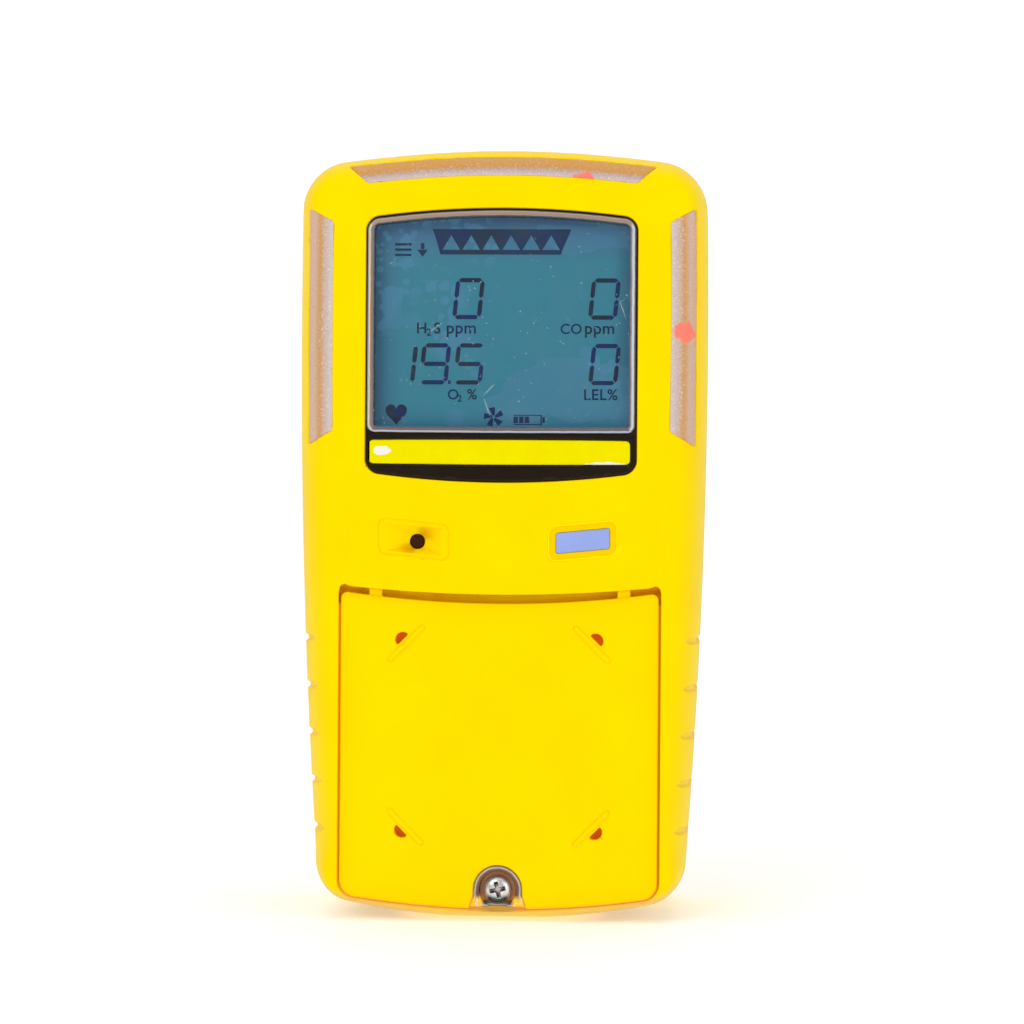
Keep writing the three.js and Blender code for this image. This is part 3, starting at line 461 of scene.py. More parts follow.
def sensor_cover(p):
    x, y, z = p
    solid = rounded_edge(panel(COVER, x, z), FRONT - y, 0.7, 0.5)
    solid = meet(solid, y - COVER_BACK, 0.15)
    tabs = block(
        (np.abs(x), y, z), (TAB_X - 1.1, TAB_X + 1.1), (FRONT + 0.5, FRONT + 1.35), (53.5, 56.3), 0.15
    )
    solid = join(solid, tabs, 0.2)
    for sign_x in (-1, 1):
        for sign_z in (-1, 1):
            along, out = port_axes(x, z, sign_x, sign_z)
            rib = meet(
                meet(np.abs(along) - 4.15, np.abs(out + 0.85) - 0.4, 0.35), np.abs(y - FRONT) - 0.3, 0.2
            )
            solid = join(solid, rib, 0.15)
            hole = meet(np.hypot(along, out) - 1.28, -out, 0.25)
            solid = cut(solid, slab(hole, p, (FRONT - 2, COVER_BACK + 1)), 0.15)
    return cut(solid, slab(arch(x, z, 4.15, -3), p, (FRONT - 2, COVER_BACK + 1)), 0.3)


def screw_retainer(p):
    x, y, z = p
    solid = rounded_edge(arch(x, z, 4.05, 2.3), FRONT + 0.1 - y, 0.5, 0.4)
    solid = meet(solid, y - (COVER_BACK + 0.7), 0.12)
    solid = cut(solid, rod(p, 3.1, (FRONT - 2, FRONT + 1.6), (0, COVER_SCREW_Z)), 0.2)
    return cut(solid, rod(p, 1.35, (FRONT - 2, COVER_BACK + 2), (0, COVER_SCREW_Z)), 0.1)


def screw(p, head, tall, shank, length, turn):
    """A cross-recessed pan-head screw along +Y, its head's underside at y = 0, with a raised thread."""
    x, y, z = p
    across = np.hypot(x, z)
    dome = rounded_edge(across - head, -tall - y, head * 0.75, tall * 0.8)
    top = meet(dome, y, 0.1)
    angle = np.arctan2(z, x)
    pitch = shank * 0.42
    wave = np.abs(((y / pitch + angle / (2 * math.pi)) % 1.0) - 0.5) * 2
    fade = smooth(0.3, 1.2, y) * (1 - smooth(length - 1.2, length - 0.3, y))
    taper = 0.45 * shank * smooth(length - 1.1, length, y)
    shaft = (across - shank + 0.16 * shank * wave * fade + taper) * 0.8
    shaft = meet(meet(shaft, y - length, 0.1), -0.3 - y, 0.05)
    solid = join(top, shaft, 0.08)
    c, s = math.cos(turn), math.sin(turn)
    u, v = np.abs(c * x + s * z), np.abs(c * z - s * x)
    depth = y + tall
    narrow = 0.155 * head - 0.07 * depth
    arm = 0.62 * head - 0.32 * depth
    slot_one = meet(v - narrow, u - arm, 0.06)
    slot_two = meet(u - narrow, v - arm, 0.06)
    core = (u + v) / math.sqrt(2) - (0.26 * head - 0.1 * depth)
    recess = meet(np.minimum(np.minimum(slot_one, slot_two), core), depth - tall * 0.95, 0.08)
    return cut(solid, recess, 0.06)


def filter_cap(p):
    x, y, z = p
    z = z - INLET_Z
    across = np.hypot(x, z)
    angle = np.arctan2(z, x)
    grip = 0.16 * smooth(-0.2, 0.5, np.cos(angle * 30)) * (1 - smooth(18.9, 19.4, y))
    solid = rounded_edge(across - 12.4 + grip, y - 20, 0.9, 0.7)
    solid = meet(solid, 15.2 - y, 0.2)
    wings = meet(
        meet(np.abs(z) - 1.15, np.abs(np.abs(x) - 9.8) - 2.3, 0.4), np.maximum(y - 21.6, 19 - y), 0.45
    )
    solid = join(solid, wings, 0.5)
    hollow = meet(across - 10.8, np.maximum(y - 18.4, 14 - y), 0.2)
    solid = cut(solid, hollow, 0.15)
    dish = meet(across - 6.2, 19.7 - y, 0.1)
    solid = cut(solid, meet(dish, 4.4 - across, 0.1), 0.15)
    return cut(solid, across - 2.6, 0.15)


LEVER_LINE = [
    (25.4, 127), (24.6, 120.5), (24.2, 113), (24.1, 103), (22.6, 95), (20, 86), (18.25, 80), (18.2, 77),
    (19.6, 74),
]


def smooth_line(points, steps=6):
    """A Catmull-Rom curve through the points."""
    padded = [points[0], *points, points[-1]]
    line = []
    for i in range(1, len(padded) - 2):
        a, b, c, d = (np.array(q, float) for q in padded[i - 1 : i + 3])
        for k in range(steps):
            t = k / steps
            line.append(
                0.5
                * (
                    2
                    * b
                    + (c - a)
                    * t
                    + (2 * a - 5 * b + 4 * c - d)
                    * t**2
                    + (3 * b - a - 3 * c + d)
                    * t**3
                )
            )
    return [*line, np.array(points[-1], float)]


def line_distance(y, z, line):
    nearest = None
    for (y0, z0), (y1, z1) in zip(line[:-1], line[1:]):
        dy, dz = y1 - y0, z1 - z0
        t = np.clip(((y - y0) * dy + (z - z0) * dz) / (dy * dy + dz * dz), 0, 1)
        away = np.hypot(y - y0 - t * dy, z - z0 - t * dz)
        nearest = away if nearest is None else np.minimum(nearest, away)
    return nearest


LEVER = smooth_line(LEVER_LINE)


def clip_lever(p):
    x, y, z = p
    half = 6.3 - 1.2 * smooth(120, 128, z) - 0.8 * (1 - smooth(73, 79, z))
    sheet = meet(line_distance(y, z, LEVER) - 0.45, np.abs(x) - half, 0.25)
    sheet = meet(meet(sheet, z - 127, 0.4), 73.85 - z, 0.3)
    ear = meet(np.hypot(y - CLIP_Y, z - CLIP_Z) - 2.4, np.abs(np.abs(x) - 5.8) - 0.5, 0.15)
    root = block((np.abs(x), y, z), (5.3, 6.3), (CLIP_Y - 0.5, 24.3), (104.5, 111.5), 0.2)
    solid = join(sheet, join(ear, root, 0.3), 0.3)
    solid = cut(solid, np.hypot(y - CLIP_Y, z - CLIP_Z) - 1.1, 0.1)
    solid = cut(solid, rod(p, 2.6, (17, 29), (0, CLIP_SCREW_Z)), 0.2)
    for groove_z in (118.4, 120.4, 122.4, 124.4):
        ridge = meet(
            np.hypot(z - groove_z, y - 25.4 + (124.4 - groove_z) * 0.09) - 0.42, np.abs(x) - 4.2, 0.2
        )
        solid = cut(solid, ridge, 0.15)
    return solid


def clip_bracket(p):
    x, y, z = p
    plate = slab(meet(np.abs(x) - 8, np.abs(z - 98) - 23, 2.0), p, (BACK + 0.1, BACK + 1.1), 0.2)
    ear = meet(np.hypot(y - CLIP_Y, z - CLIP_Z) - 2.3, np.abs(np.abs(x) - 7.5) - 0.5, 0.15)
    root_outline = np.maximum(
        np.abs(z - CLIP_Z) - mix(6.0, 2.1, np.clip((y - BACK - 0.6) / 4.6, 0, 1)), y - CLIP_Y - 0.5
    )
    root = meet(np.maximum(root_outline, BACK + 0.3 - y), np.abs(np.abs(x) - 7.5) - 0.5, 0.15)
    solid = join(plate, join(ear, root, 0.4), 0.5)
    solid = cut(solid, np.hypot(y - CLIP_Y, z - CLIP_Z) - 1.1, 0.1)
    slot = meet(np.abs(x) - 1.7, np.abs(z - 84) - 3, 1.6)
    solid = cut(solid, slab(slot, p, (BACK - 1, BACK + 3)), 0.15)
    return cut(solid, rod(p, 1.7, (15, 18), (0, CLIP_SCREW_Z)), 0.15)


# ---------------------------------------------------------------- lathed, bevelled and swept pieces
def from_bmesh(name, made, sharp=35):
    mesh = bpy.data.meshes.new(name)
    bmesh.ops.recalc_face_normals(made, faces=made.faces)
    made.to_mesh(mesh)
    made.free()
    mesh.polygons.foreach_set("use_smooth", [True] * len(mesh.polygons))
    mesh.set_sharp_from_angle(angle=math.radians(sharp))
    return new_object(name, mesh)


def lathe(name, profile, centre, axis="y", steps=64):
    """A closed ring of (radius, distance along the axis) points turned about an axis."""
    made = bmesh.new()
    rings = []
    for i in range(steps):
        angle = 2 * math.pi * i / steps
        ring = []
        for radius, along in profile:
            if radius < 1e-6 and rings:
                ring.append(rings[0][len(ring)])
                continue
            u, v = radius * math.cos(angle), radius * math.sin(angle)
            spot = {"y": (u, along, v), "x": (along, u, v), "z": (u, v, along)}[axis]
            ring.append(made.verts.new([(c + s) * MM for c, s in zip(centre, spot)]))
        rings.append(ring)
    count = len(profile)
    for i in range(steps):
        one, two = rings[i], rings[(i + 1) % steps]
        for j in range(count):
            k = (j + 1) % count
            corners = [one[j], one[k], two[k], two[j]]
            distinct = [v for n, v in enumerate(corners) if v not in corners[:n]]
            if len(distinct) > 2:
                made.faces.new(distinct)
    return from_bmesh(name, made)


def rounded_profile(points, radius, steps=4):
    """The profile with each corner off the axis rounded."""
    result = []
    count = len(points)
    for i in range(count):
        before, here, after = (Vector(points[(i + k) % count]) for k in (-1, 0, 1))
        if here.x < 1e-6:
            result.append(tuple(here))
            continue
        back, on = before - here, after - here
        reach = min(radius, back.length * 0.45, on.length * 0.45)
        start, end = here + back.normalized() * reach, here + on.normalized() * reach
        for k in range(steps + 1):
            t = k / steps
            result.append(tuple((1 - t) ** 2 * start + 2 * t * (1 - t) * here + t**2 * end))
    return result


def bevelled_box(name, low, high, radius, segments=3):
    made = bmesh.new()
    bmesh.ops.create_cube(made, size=1)
    middle = [(a + b) / 2 * MM for a, b in zip(low, high)]
    for v in made.verts:
        v.co = Vector([m + c * (b - a) * MM for m, c, a, b in zip(middle, v.co, low, high)])
    bmesh.ops.bevel(
        made, geom=made.edges[:], offset=radius * MM, segments=segments, profile=0.5, affect="EDGES"
    )
    return from_bmesh(name, made)


def curve_mesh(curve):
    made = new_object(curve.name + "_line", curve)
    mesh = bpy.data.meshes.new_from_object(made.evaluated_get(bpy.context.evaluated_depsgraph_get()))
    bpy.data.objects.remove(made)
    return mesh


def tube(name, points, radius, resolution=6, sides=4):
    """A round tube swept along a smooth line through the points, closed at both ends."""
    curve = bpy.data.curves.new(name, "CURVE")
    curve.dimensions = "3D"
    spline = curve.splines.new("NURBS")
    spline.points.add(len(points) - 1)
    for point, spot in zip(spline.points, points):
        point.co = (*[c * MM for c in spot], 1)
    spline.use_endpoint_u = True
    spline.order_u = 3
    spline.resolution_u = resolution
    curve.bevel_depth = radius * MM
    curve.bevel_resolution = sides
    curve.use_fill_caps = True
    mesh = curve_mesh(curve)
    shaped = bmesh.new()
    shaped.from_mesh(mesh)
    bmesh.ops.remove_doubles(shaped, verts=shaped.verts, dist=1e-6)
    bpy.data.meshes.remove(mesh)
    return from_bmesh(name, shaped, 60)


def boxed(name, node, radius, material, slot, segments=3):
    """A bevelled block that fills its CAD node's box."""
    return place(bevelled_box(name, *mm_box(node), radius, segments), "housing", material, slot, node)


# ---------------------------------------------------------------- display pictures
def prism_faces(made, outline, y_front, y_back):
    """A closed flat block with an outline of (x, z) points."""
    front = [made.verts.new((x * MM, y_front * MM, z * MM)) for x, z in outline]
    back = [made.verts.new((x * MM, y_back * MM, z * MM)) for x, z in outline]
    count = len(outline)
    made.faces.new(front)
    made.faces.new(list(reversed(back)))
    for i in range(count):
        k = (i + 1) % count
        made.faces.new([front[k], front[i], back[i], back[k]])


DIGITS = {"0": "abcdef", "1": "bc", "5": "acdfg", "9": "abcdfg"}


def digit_outlines(digit, x, z, wide, tall, lean=0.1, stroke=0.72):
    """The lit bars of a seven-bar digit whose lower left corner is at (x, z)."""
    w, h, t = wide, tall, stroke
    gap = 0.1
    half = t / 2

    def bar_across(z0):
        left, right = gap + half, w - gap - half
        above = [(left + half, z0 + half), (right - half, z0 + half)]
        return [(left, z0), *above, (right, z0), *((u, 2 * z0 - v) for u, v in reversed(above))]

    def bar_up(x0, z0, z1):
        low, high = z0 + gap, z1 - gap
        right = [(x0 + half, low + half), (x0 + half, high - half)]
        return [(x0, low), *right, (x0, high), *((2 * x0 - u, v) for u, v in reversed(right))]

    bars = {
        "a": bar_across(h - half),
        "d": bar_across(half),
        "g": bar_across(h / 2),
        "f": bar_up(half, h / 2, h - half),
        "e": bar_up(half, half, h / 2),
        "b": bar_up(w - half, h / 2, h - half),
        "c": bar_up(w - half, half, h / 2),
    }
    return [[(x + u + lean * v, z + v) for u, v in bars[key]] for key in DIGITS[digit]]


def lettering(text, x, z, size, spacing=1.0):
    """Flat outlines of small text, as a mesh in the X-Z plane with its lower left corner at (x, z)."""
    curve = bpy.data.curves.new("unit_mark", "FONT")
    curve.body = text
    curve.size = size * MM
    curve.extrude = 0.03 * MM
    curve.offset = 0.012 * size * MM
    curve.space_character = spacing
    mesh = curve_mesh(curve)
    mesh.transform(Matrix.Rotation(math.pi / 2, 4, "X"))
    mesh.transform(Matrix.Translation((x * MM, 0, z * MM)))
    return mesh


def oblong(x0, x1, z0, z1):
    return [(x0, z0), (x1, z0), (x1, z1), (x0, z1)]


def lcd_marks(front):
    """Digits, unit marks and pictograms of the display, standing just proud of the panel."""
    made = bmesh.new()
    digits = (("0", -8.6, 101.7), ("0", 14.5, 101.7), ("0", 14.6, 90.6), ("1", -19.9, 90.6))
    outlines = []
    for digit, x, z in (*digits, ("9", -14.25, 90.6), ("5", -8.4, 90.6)):
        outlines += digit_outlines(digit, x, z, 4.9, 7.0)
    outlines.append(oblong(-9.2, -8.7, 90.7, 91.3))
    # the banner at the top: a dark trapezoid with a row of plain triangles left open in it
    outlines += [
        [(-12.0, 117), (11.6, 117), (11.2, 116), (-11.6, 116)],
        [(-10.9, 113.5), (10.1, 113.5), (9.9, 112.7), (-10.6, 112.7)],
    ]
    tips = [-8.8 + 3.4 * i for i in range(6)]
    for left, right in zip([-11.6, *tips], [*tips, 11.2]):
        foot_left = left + 1.5 if left > -10 else -10.85
        foot_right = right - 1.5 if right < 10 else 10.1
        outlines.append([(left, 116), (right, 116), (foot_right, 113.5), (foot_left, 113.5)])
    # three bars and a down arrow beside it
    outlines += [oblong(-18.4, -15.6, z, z + 0.4) for z in (112.4, 113.3, 114.2)]
    outlines += [oblong(-14.0, -13.4, 114.6, 113.6), [(-14.6, 113.5), (-13.7, 112.3), (-12.8, 113.5)]]
    # heart
    heart = []
    for i in range(36):
        t = 2 * math.pi * i / 36
        across = 16 * math.sin(t) ** 3
        up = 13 * math.cos(t) - 5 * math.cos(2 * t) - 2 * math.cos(3 * t) - math.cos(4 * t)
        heart.append((-18.0 + across * 0.115, 85.7 + up * 0.125))
    outlines.append(heart)
    # fan with five curved blades
    for i in range(5):
        turn = 2 * math.pi * i / 5 + 0.3
        blade = []
        for radius, angle in (
            (0.32, -0.6), (1.0, -0.25), (1.72, -0.1), (1.72, 0.55), (1.15, 0.5), (0.32, 0.55)
        ):
            blade.append((-1.4 + radius * math.cos(turn + angle), 85.1 + radius * math.sin(turn + angle)))
        outlines.append(blade)
    # battery, part full
    outlines += [oblong(2.0, 6.6, 85.35, 85.5), oblong(2.0, 6.6, 83.8, 83.95)]
    outlines += [oblong(6.6, 6.8, 83.8, 85.5), oblong(6.9, 7.3, 84.2, 85.1)]
    outlines += [oblong(x, x + 0.75, 84.1, 85.2) for x in (2.0, 2.95, 3.9)]
    for outline in outlines:
        prism_faces(made, outline, front - 0.08, front - 0.02)
    marks = [
        ("H", -14.7, 99.3, 2.6), ("2", -12.95, 98.9, 1.7), ("S", -11.7, 99.3, 2.6),
        ("ppm", -9.6, 99.3, 2.85),
    ]
    marks += [("CO", 9.8, 99.3, 2.4), ("ppm", 13.9, 99.3, 2.85)]
    marks += [
        ("O", -9.3, 88.1, 2.4), ("2", -7.6, 87.7, 1.6), ("%", -5.95, 88.1, 2.5), ("LEL%", 13.8, 88.1, 2.6)
    ]
    for text, x, z, size in marks:
        mesh = lettering(text, x, z, size, 1.06)
        mesh.transform(Matrix.Translation((0, (front - 0.05) * MM, 0)))
        made.from_mesh(mesh)
        bpy.data.meshes.remove(mesh)
    return from_bmesh("lcd_marks", made, 10)


# ---------------------------------------------------------------- materials
def operator(kind, swapped=False):
    if swapped:
        return lambda value, other: value.paint.math(kind, other, value)
    return lambda value, other=0.0: value.paint.math(kind, value, other)


class Value:
    """One output inside a node material, with arithmetic."""

    def __init__(self, paint, socket):
        self.paint = paint
        self.socket = socket

    __add__, __radd__ = operator("ADD"), operator("ADD", True)
    __sub__, __rsub__ = operator("SUBTRACT"), operator("SUBTRACT", True)
    __mul__, __rmul__ = operator("MULTIPLY"), operator("MULTIPLY", True)
    __truediv__, __pow__, __abs__ = operator("DIVIDE"), operator("POWER"), operator("ABSOLUTE")


class Paint:
    """Builds one node material. Inputs may be numbers, colours or Values."""

    def __init__(self, name):
        self.material = bpy.data.materials.new(name)
        self.material.use_nodes = True
        self.tree = self.material.node_tree
        self.tree.nodes.clear()
        self.output = self.tree.nodes.new("ShaderNodeOutputMaterial")
        self.place = self.out("ShaderNodeTexCoord", "Object")
        self.x, self.y, self.z = self.split(self.place)

    def node(self, kind, values=None, **settings):
        made = self.tree.nodes.new(kind)
        for key, value in settings.items():
            setattr(made, key, value)
        for key, value in (values or {}).items():
            self.feed(made.inputs[key], value)
        return made

    def feed(self, socket, value):
        if isinstance(value, Value):
            self.tree.links.new(value.socket, socket)
        else:
            socket.default_value = value

    def out(self, kind, output=0, values=None, **settings):
        return Value(self, self.node(kind, values, **settings).outputs[output])

    def split(self, vector):
        made = self.node("ShaderNodeSeparateXYZ", {"Vector": vector})
        return [Value(self, made.outputs[axis]) for axis in "XYZ"]

    def math(self, kind, a, b=0.0, clamp=False):
        return self.out("ShaderNodeMath", 0, {0: a, 1: b}, operation=kind, use_clamp=clamp)

    def mapped(self, **changes):
        return self.out("ShaderNodeMapping", 0, {"Vector": self.place, **changes})

    def read(self, name, output="Fac"):
        """A value stored on the mesh's points."""
        return self.out("ShaderNodeAttribute", output, attribute_name=name)

    def noise(self, scale, detail=4.0, rough=0.55, where=None):
        values = {"Vector": where or self.place, "Scale": scale, "Detail": detail, "Roughness": rough}
        return self.out("ShaderNodeTexNoise", "Fac", values)

    def cells(self, scale, feature="F1", where=None, randomness=1.0):
        values = {"Vector": where or self.place, "Scale": scale, "Randomness": randomness}
        if feature == "SMOOTH_F1":
            values["Smoothness"] = 0.2
        return self.out("ShaderNodeTexVoronoi", "Distance", values, feature=feature)

    def ramp(self, factor, *stops):
        made = self.node("ShaderNodeValToRGB", {"Fac": factor})
        points = made.color_ramp.elements
        while len(points) < len(stops):
            points.new(0.5)
        for point, (position, colour) in zip(points, stops):
            point.position = position
            point.color = (*colour, 1)
        return Value(self, made.outputs["Color"])

    def level(self, factor, low, high):
        """0 below low, 1 above high."""
        return self.out("ShaderNodeMapRange", 0, {"Value": factor, "From Min": low, "From Max": high})

    def blend(self, factor, a, b):
        """Colour a where the factor is 0, and b where it is 1."""
        made = self.node("ShaderNodeMix", data_type="RGBA")
        for key, value in (("Factor", factor), ("A", a), ("B", b)):
            socket = next(s for s in made.inputs if s.name == key and s.enabled)
            self.feed(socket, (*value, 1) if isinstance(value, tuple) else value)
        return Value(self, [s for s in made.outputs if s.enabled][0])

    def bump(self, height, strength, distance=0.1, normal=None):
        values = {"Height": height, "Strength": strength, "Distance": distance * MM}
        if normal is not None:
            values["Normal"] = normal
        return self.out("ShaderNodeBump", 0, values)

    def scratches(self, wide=1.3, long=30.0, thin=0.06, share=0.5):
        """Short fine scratches lying several ways, 1 on a scratch; sizes in millimetres."""
        lines = []
        for turn, seed in ((0.35, 0.1), (-0.75, 0.37), (1.2, 0.73), (2.2, 0.51)):
            turned = self.mapped(Rotation=(0, turn, 0), Location=(seed, seed, seed))
            where = self.mapped(Vector=turned, Scale=(1 / (wide * MM), 1 / (long * MM), 1 / (long * MM)))
            line = self.level(self.cells(1.0, "F1", where), thin, thin * 0.5)
            lines.append(line * self.level(self.noise(210.0, 1.0, 0.5, turned), 1 - share, 1.04 - share))
        return self.most(*lines)

    def most(self, *values):
        """The largest of several."""
        best = values[0]
        for value in values[1:]:
            best = self.math("MAXIMUM", best, value)
        return best

    def cavity(self, reach=1.6, low=0.75, high=0.15):
        """1 deep in a gap, 0 on an open face."""
        seen = self.out("ShaderNodeAmbientOcclusion", "AO", {"Distance": reach * MM}, samples=6)
        return self.level(seen, low, high)

    def near(self, x, z, radius):
        """1 within a radius of a point of the front, in millimetres."""
        dx = self.x - x * MM
        dz = self.z - z * MM
        away = self.math("SQRT", dx * dx + dz * dz)
        return self.level(away, radius * MM, (radius - 0.2) * MM)

    def facing(self, blend=0.2):
        """1 where the surface is seen edge on."""
        return self.out("ShaderNodeLayerWeight", "Facing", {"Blend": blend})

    def finish(self, colour, roughness, normal=None, **extra):
        values = {"Base Color": colour, "Roughness": roughness}
        if normal is not None:
            values["Normal"] = normal
        for key, value in extra.items():
            values[key.replace("_", " ")] = value
        return self.show(self.out("ShaderNodeBsdfPrincipled", 0, values))

    def show(self, shader):
        self.feed(self.output.inputs["Surface"], shader)
        return self.material


def yellow_plastic():
    paint = Paint("yellow_plastic")
    tone = paint.noise(70.0, 3.0)
    body = paint.ramp(tone, (0.35, (1.0, 0.7, 0.0)), (0.65, (1.0, 0.735, 0.0)))
    specks = paint.level(paint.cells(700.0), 0.085, 0.05)
    rare = paint.level(paint.noise(420.0, 1.0), 0.64, 0.68)
    body = paint.blend(specks * rare * 0.3, body, (0.72, 0.42, 0.06))
    marks = paint.scratches(2.4, 60.0, 0.03, 0.42)
    body = paint.blend(marks * 0.3, body, (1.0, 0.9, 0.35))
    # painted shade: the sides darken a little and end in a thin tan line at the silhouette
    edge_on_shade = paint.level(paint.facing(0.25), 0.35, 0.85)
    body = paint.blend(edge_on_shade * 0.9, body, (0.95, 0.62, 0.0))
    rim_light = paint.level(paint.facing(0.25), 0.86, 0.97)
    body = paint.blend(rim_light * 0.9, body, (0.82, 0.56, 0.13))
    # painted light: the gaps round the flush pieces glow and are not darkened
    flush_glow = paint.read("flush_glow")
    # painted shade: the lower edge of the case is drawn tan
    foot_shade = paint.read("foot_shade")
    # painted shade: a deeper yellow round the button's surround and towards the cover's edges
    ring = paint.read("ring")
    body = paint.blend(ring, body, (0.92, 0.61, 0.0))
    shade = paint.read("shade")
    body = paint.blend(shade, body, (0.72, 0.36, 0.0))
    shown = paint.math("SUBTRACT", 1.0, flush_glow, True)
    # painted shade: corners and narrow gaps turn orange
    corners = paint.cavity(0.5, 0.9, 0.45) * shown
    body = paint.blend(corners * 0.85, body, (0.92, 0.42, 0.0))
    gap_shade = paint.cavity() * shown
    # painted shade in the deep gaps, which also glow in it: over the cover the gap is amber above and brown
    # below, with a darker red stretch
    over_cover = paint.level(paint.z, 53.2 * MM, 53.6 * MM) * paint.level(paint.z, 58.2 * MM, 57.7 * MM)
    (_, cover_top, cover_bow, _), _ = COVER
    bow = paint.x * paint.x / (-2 * cover_bow * MM)
    rise = paint.z - cover_top * MM - bow
    gap_noise = paint.noise(900.0, 3.0, 0.65)
    rise = rise / (1.6 * MM) + (gap_noise - 0.5) * 0.5
    gap_tint = paint.ramp(
        rise, (0.0, (0.44, 0.1, 0.002)), (0.34, (0.44, 0.1, 0.002)), (0.5, (0.85, 0.27, 0.0)),
        (0.72, (0.98, 0.5, 0.0)), (1.0, (1.0, 0.64, 0.0)),
    )
    dark_stretch = paint.level(paint.x, -12.5 * MM, -11 * MM) * paint.level(paint.x, -2 * MM, -3.5 * MM)
    gap_tint = paint.blend(dark_stretch * paint.level(gap_noise, 0.4, 0.5), gap_tint, (0.55, 0.035, 0.0))
    deep = paint.blend(over_cover, (0.74, 0.4, 0.004), gap_tint)
    # painted shade: the sounder's hole is dark brown and does not glow
    hole = paint.near(*SOUNDER, 1.42)
    deep = paint.blend(hole, deep, (0.07, 0.022, 0.006))
    # painted shade: low down the gaps are a pale tan
    low_down = paint.level(paint.z, 6.0 * MM, 3.5 * MM)
    deep = paint.blend(low_down, deep, (0.8, 0.52, 0.15))
    body = paint.blend(gap_shade, body, deep)
    body = paint.blend(foot_shade, body, (0.84, 0.57, 0.14))
    rough = paint.noise(300.0, 4.0) * 0.16 + 0.34
    grain = paint.bump(paint.noise(5200.0, 2.0, 0.6), 0.22, 0.05)
    grain = paint.bump(marks, 0.25, -0.03, grain)
    # painted light: the deep gaps glow in their own colour
    painted_glow = gap_shade**2.0 * 0.45
    painted_glow = painted_glow * (1.0 - hole)
    # painted light: the thin edges round the flush pieces glow, and their gaps are not darkened
    lit = paint.cavity(0.3, 0.8, 0.4) * flush_glow * 0.55
    painted_glow = paint.most(painted_glow, lit)
    deep = paint.blend(flush_glow, deep, (0.95, 0.6, 0.0))
    shine = paint.math("SUBTRACT", 1.0, edge_on_shade, True) * 0.5
    light = {"IOR": 1.32, "Specular_IOR_Level": shine, "Specular_Tint": (1.0, 0.72, 0.02, 1)}
    return paint.finish(body, rough, grain, Emission_Color=deep, Emission_Strength=painted_glow, **light)


def frosted_lens(side):
    paint = Paint("frosted_lens_" + side)
    across = paint.read("across")
    speck = paint.noise(2900.0, 3.0, 0.75)
    wobble = across + (speck - 0.5) * 0.5
    # painted reflection and shade: the bands across each bar stand for the case's walls and the light seen
    # through the frosted lens
    if side == "top":
        stops = (
            (0.0, (0.55, 0.3, 0.12)), (0.14, (0.6, 0.29, 0.05)), (0.52, (0.56, 0.25, 0.04)),
            (0.64, (0.46, 0.32, 0.28)), (0.95, (0.57, 0.48, 0.48)),
        )
    else:
        stops = (
            (0.0, (0.6, 0.39, 0.26)), (0.24, (0.6, 0.42, 0.34)), (0.46, (0.58, 0.28, 0.06)),
            (0.64, (0.54, 0.39, 0.32)), (0.95, (0.58, 0.51, 0.5)),
        )
    colour = paint.ramp(wobble, *stops)
    pale = paint.level(speck, 0.56, 0.7)
    colour = paint.blend(pale * 0.4, colour, (0.92, 0.88, 0.88))
    dark = paint.level(paint.noise(2400.0, 2.0, 0.7), 0.42, 0.3)
    colour = paint.blend(dark * 0.35, colour, (0.38, 0.24, 0.12))
    # painted light: a red glow on the bar near each lamp behind it
    lamp = paint.read("lamp")
    lamp = lamp + (paint.noise(900.0, 3.0, 0.7) - 0.5) * 1.5
    colour = paint.blend(paint.level(lamp, 0.5, 0.62), colour, (0.95, 0.2, 0.14))
    frost = paint.bump(speck, 0.4, 0.08)
    # painted light: the lens glows faintly in its own colour
    return paint.finish(
        colour, 0.36, frost, Specular_Tint=(0.8, 0.6, 0.45, 1), Emission_Color=colour,
        Emission_Strength=0.06,
    )


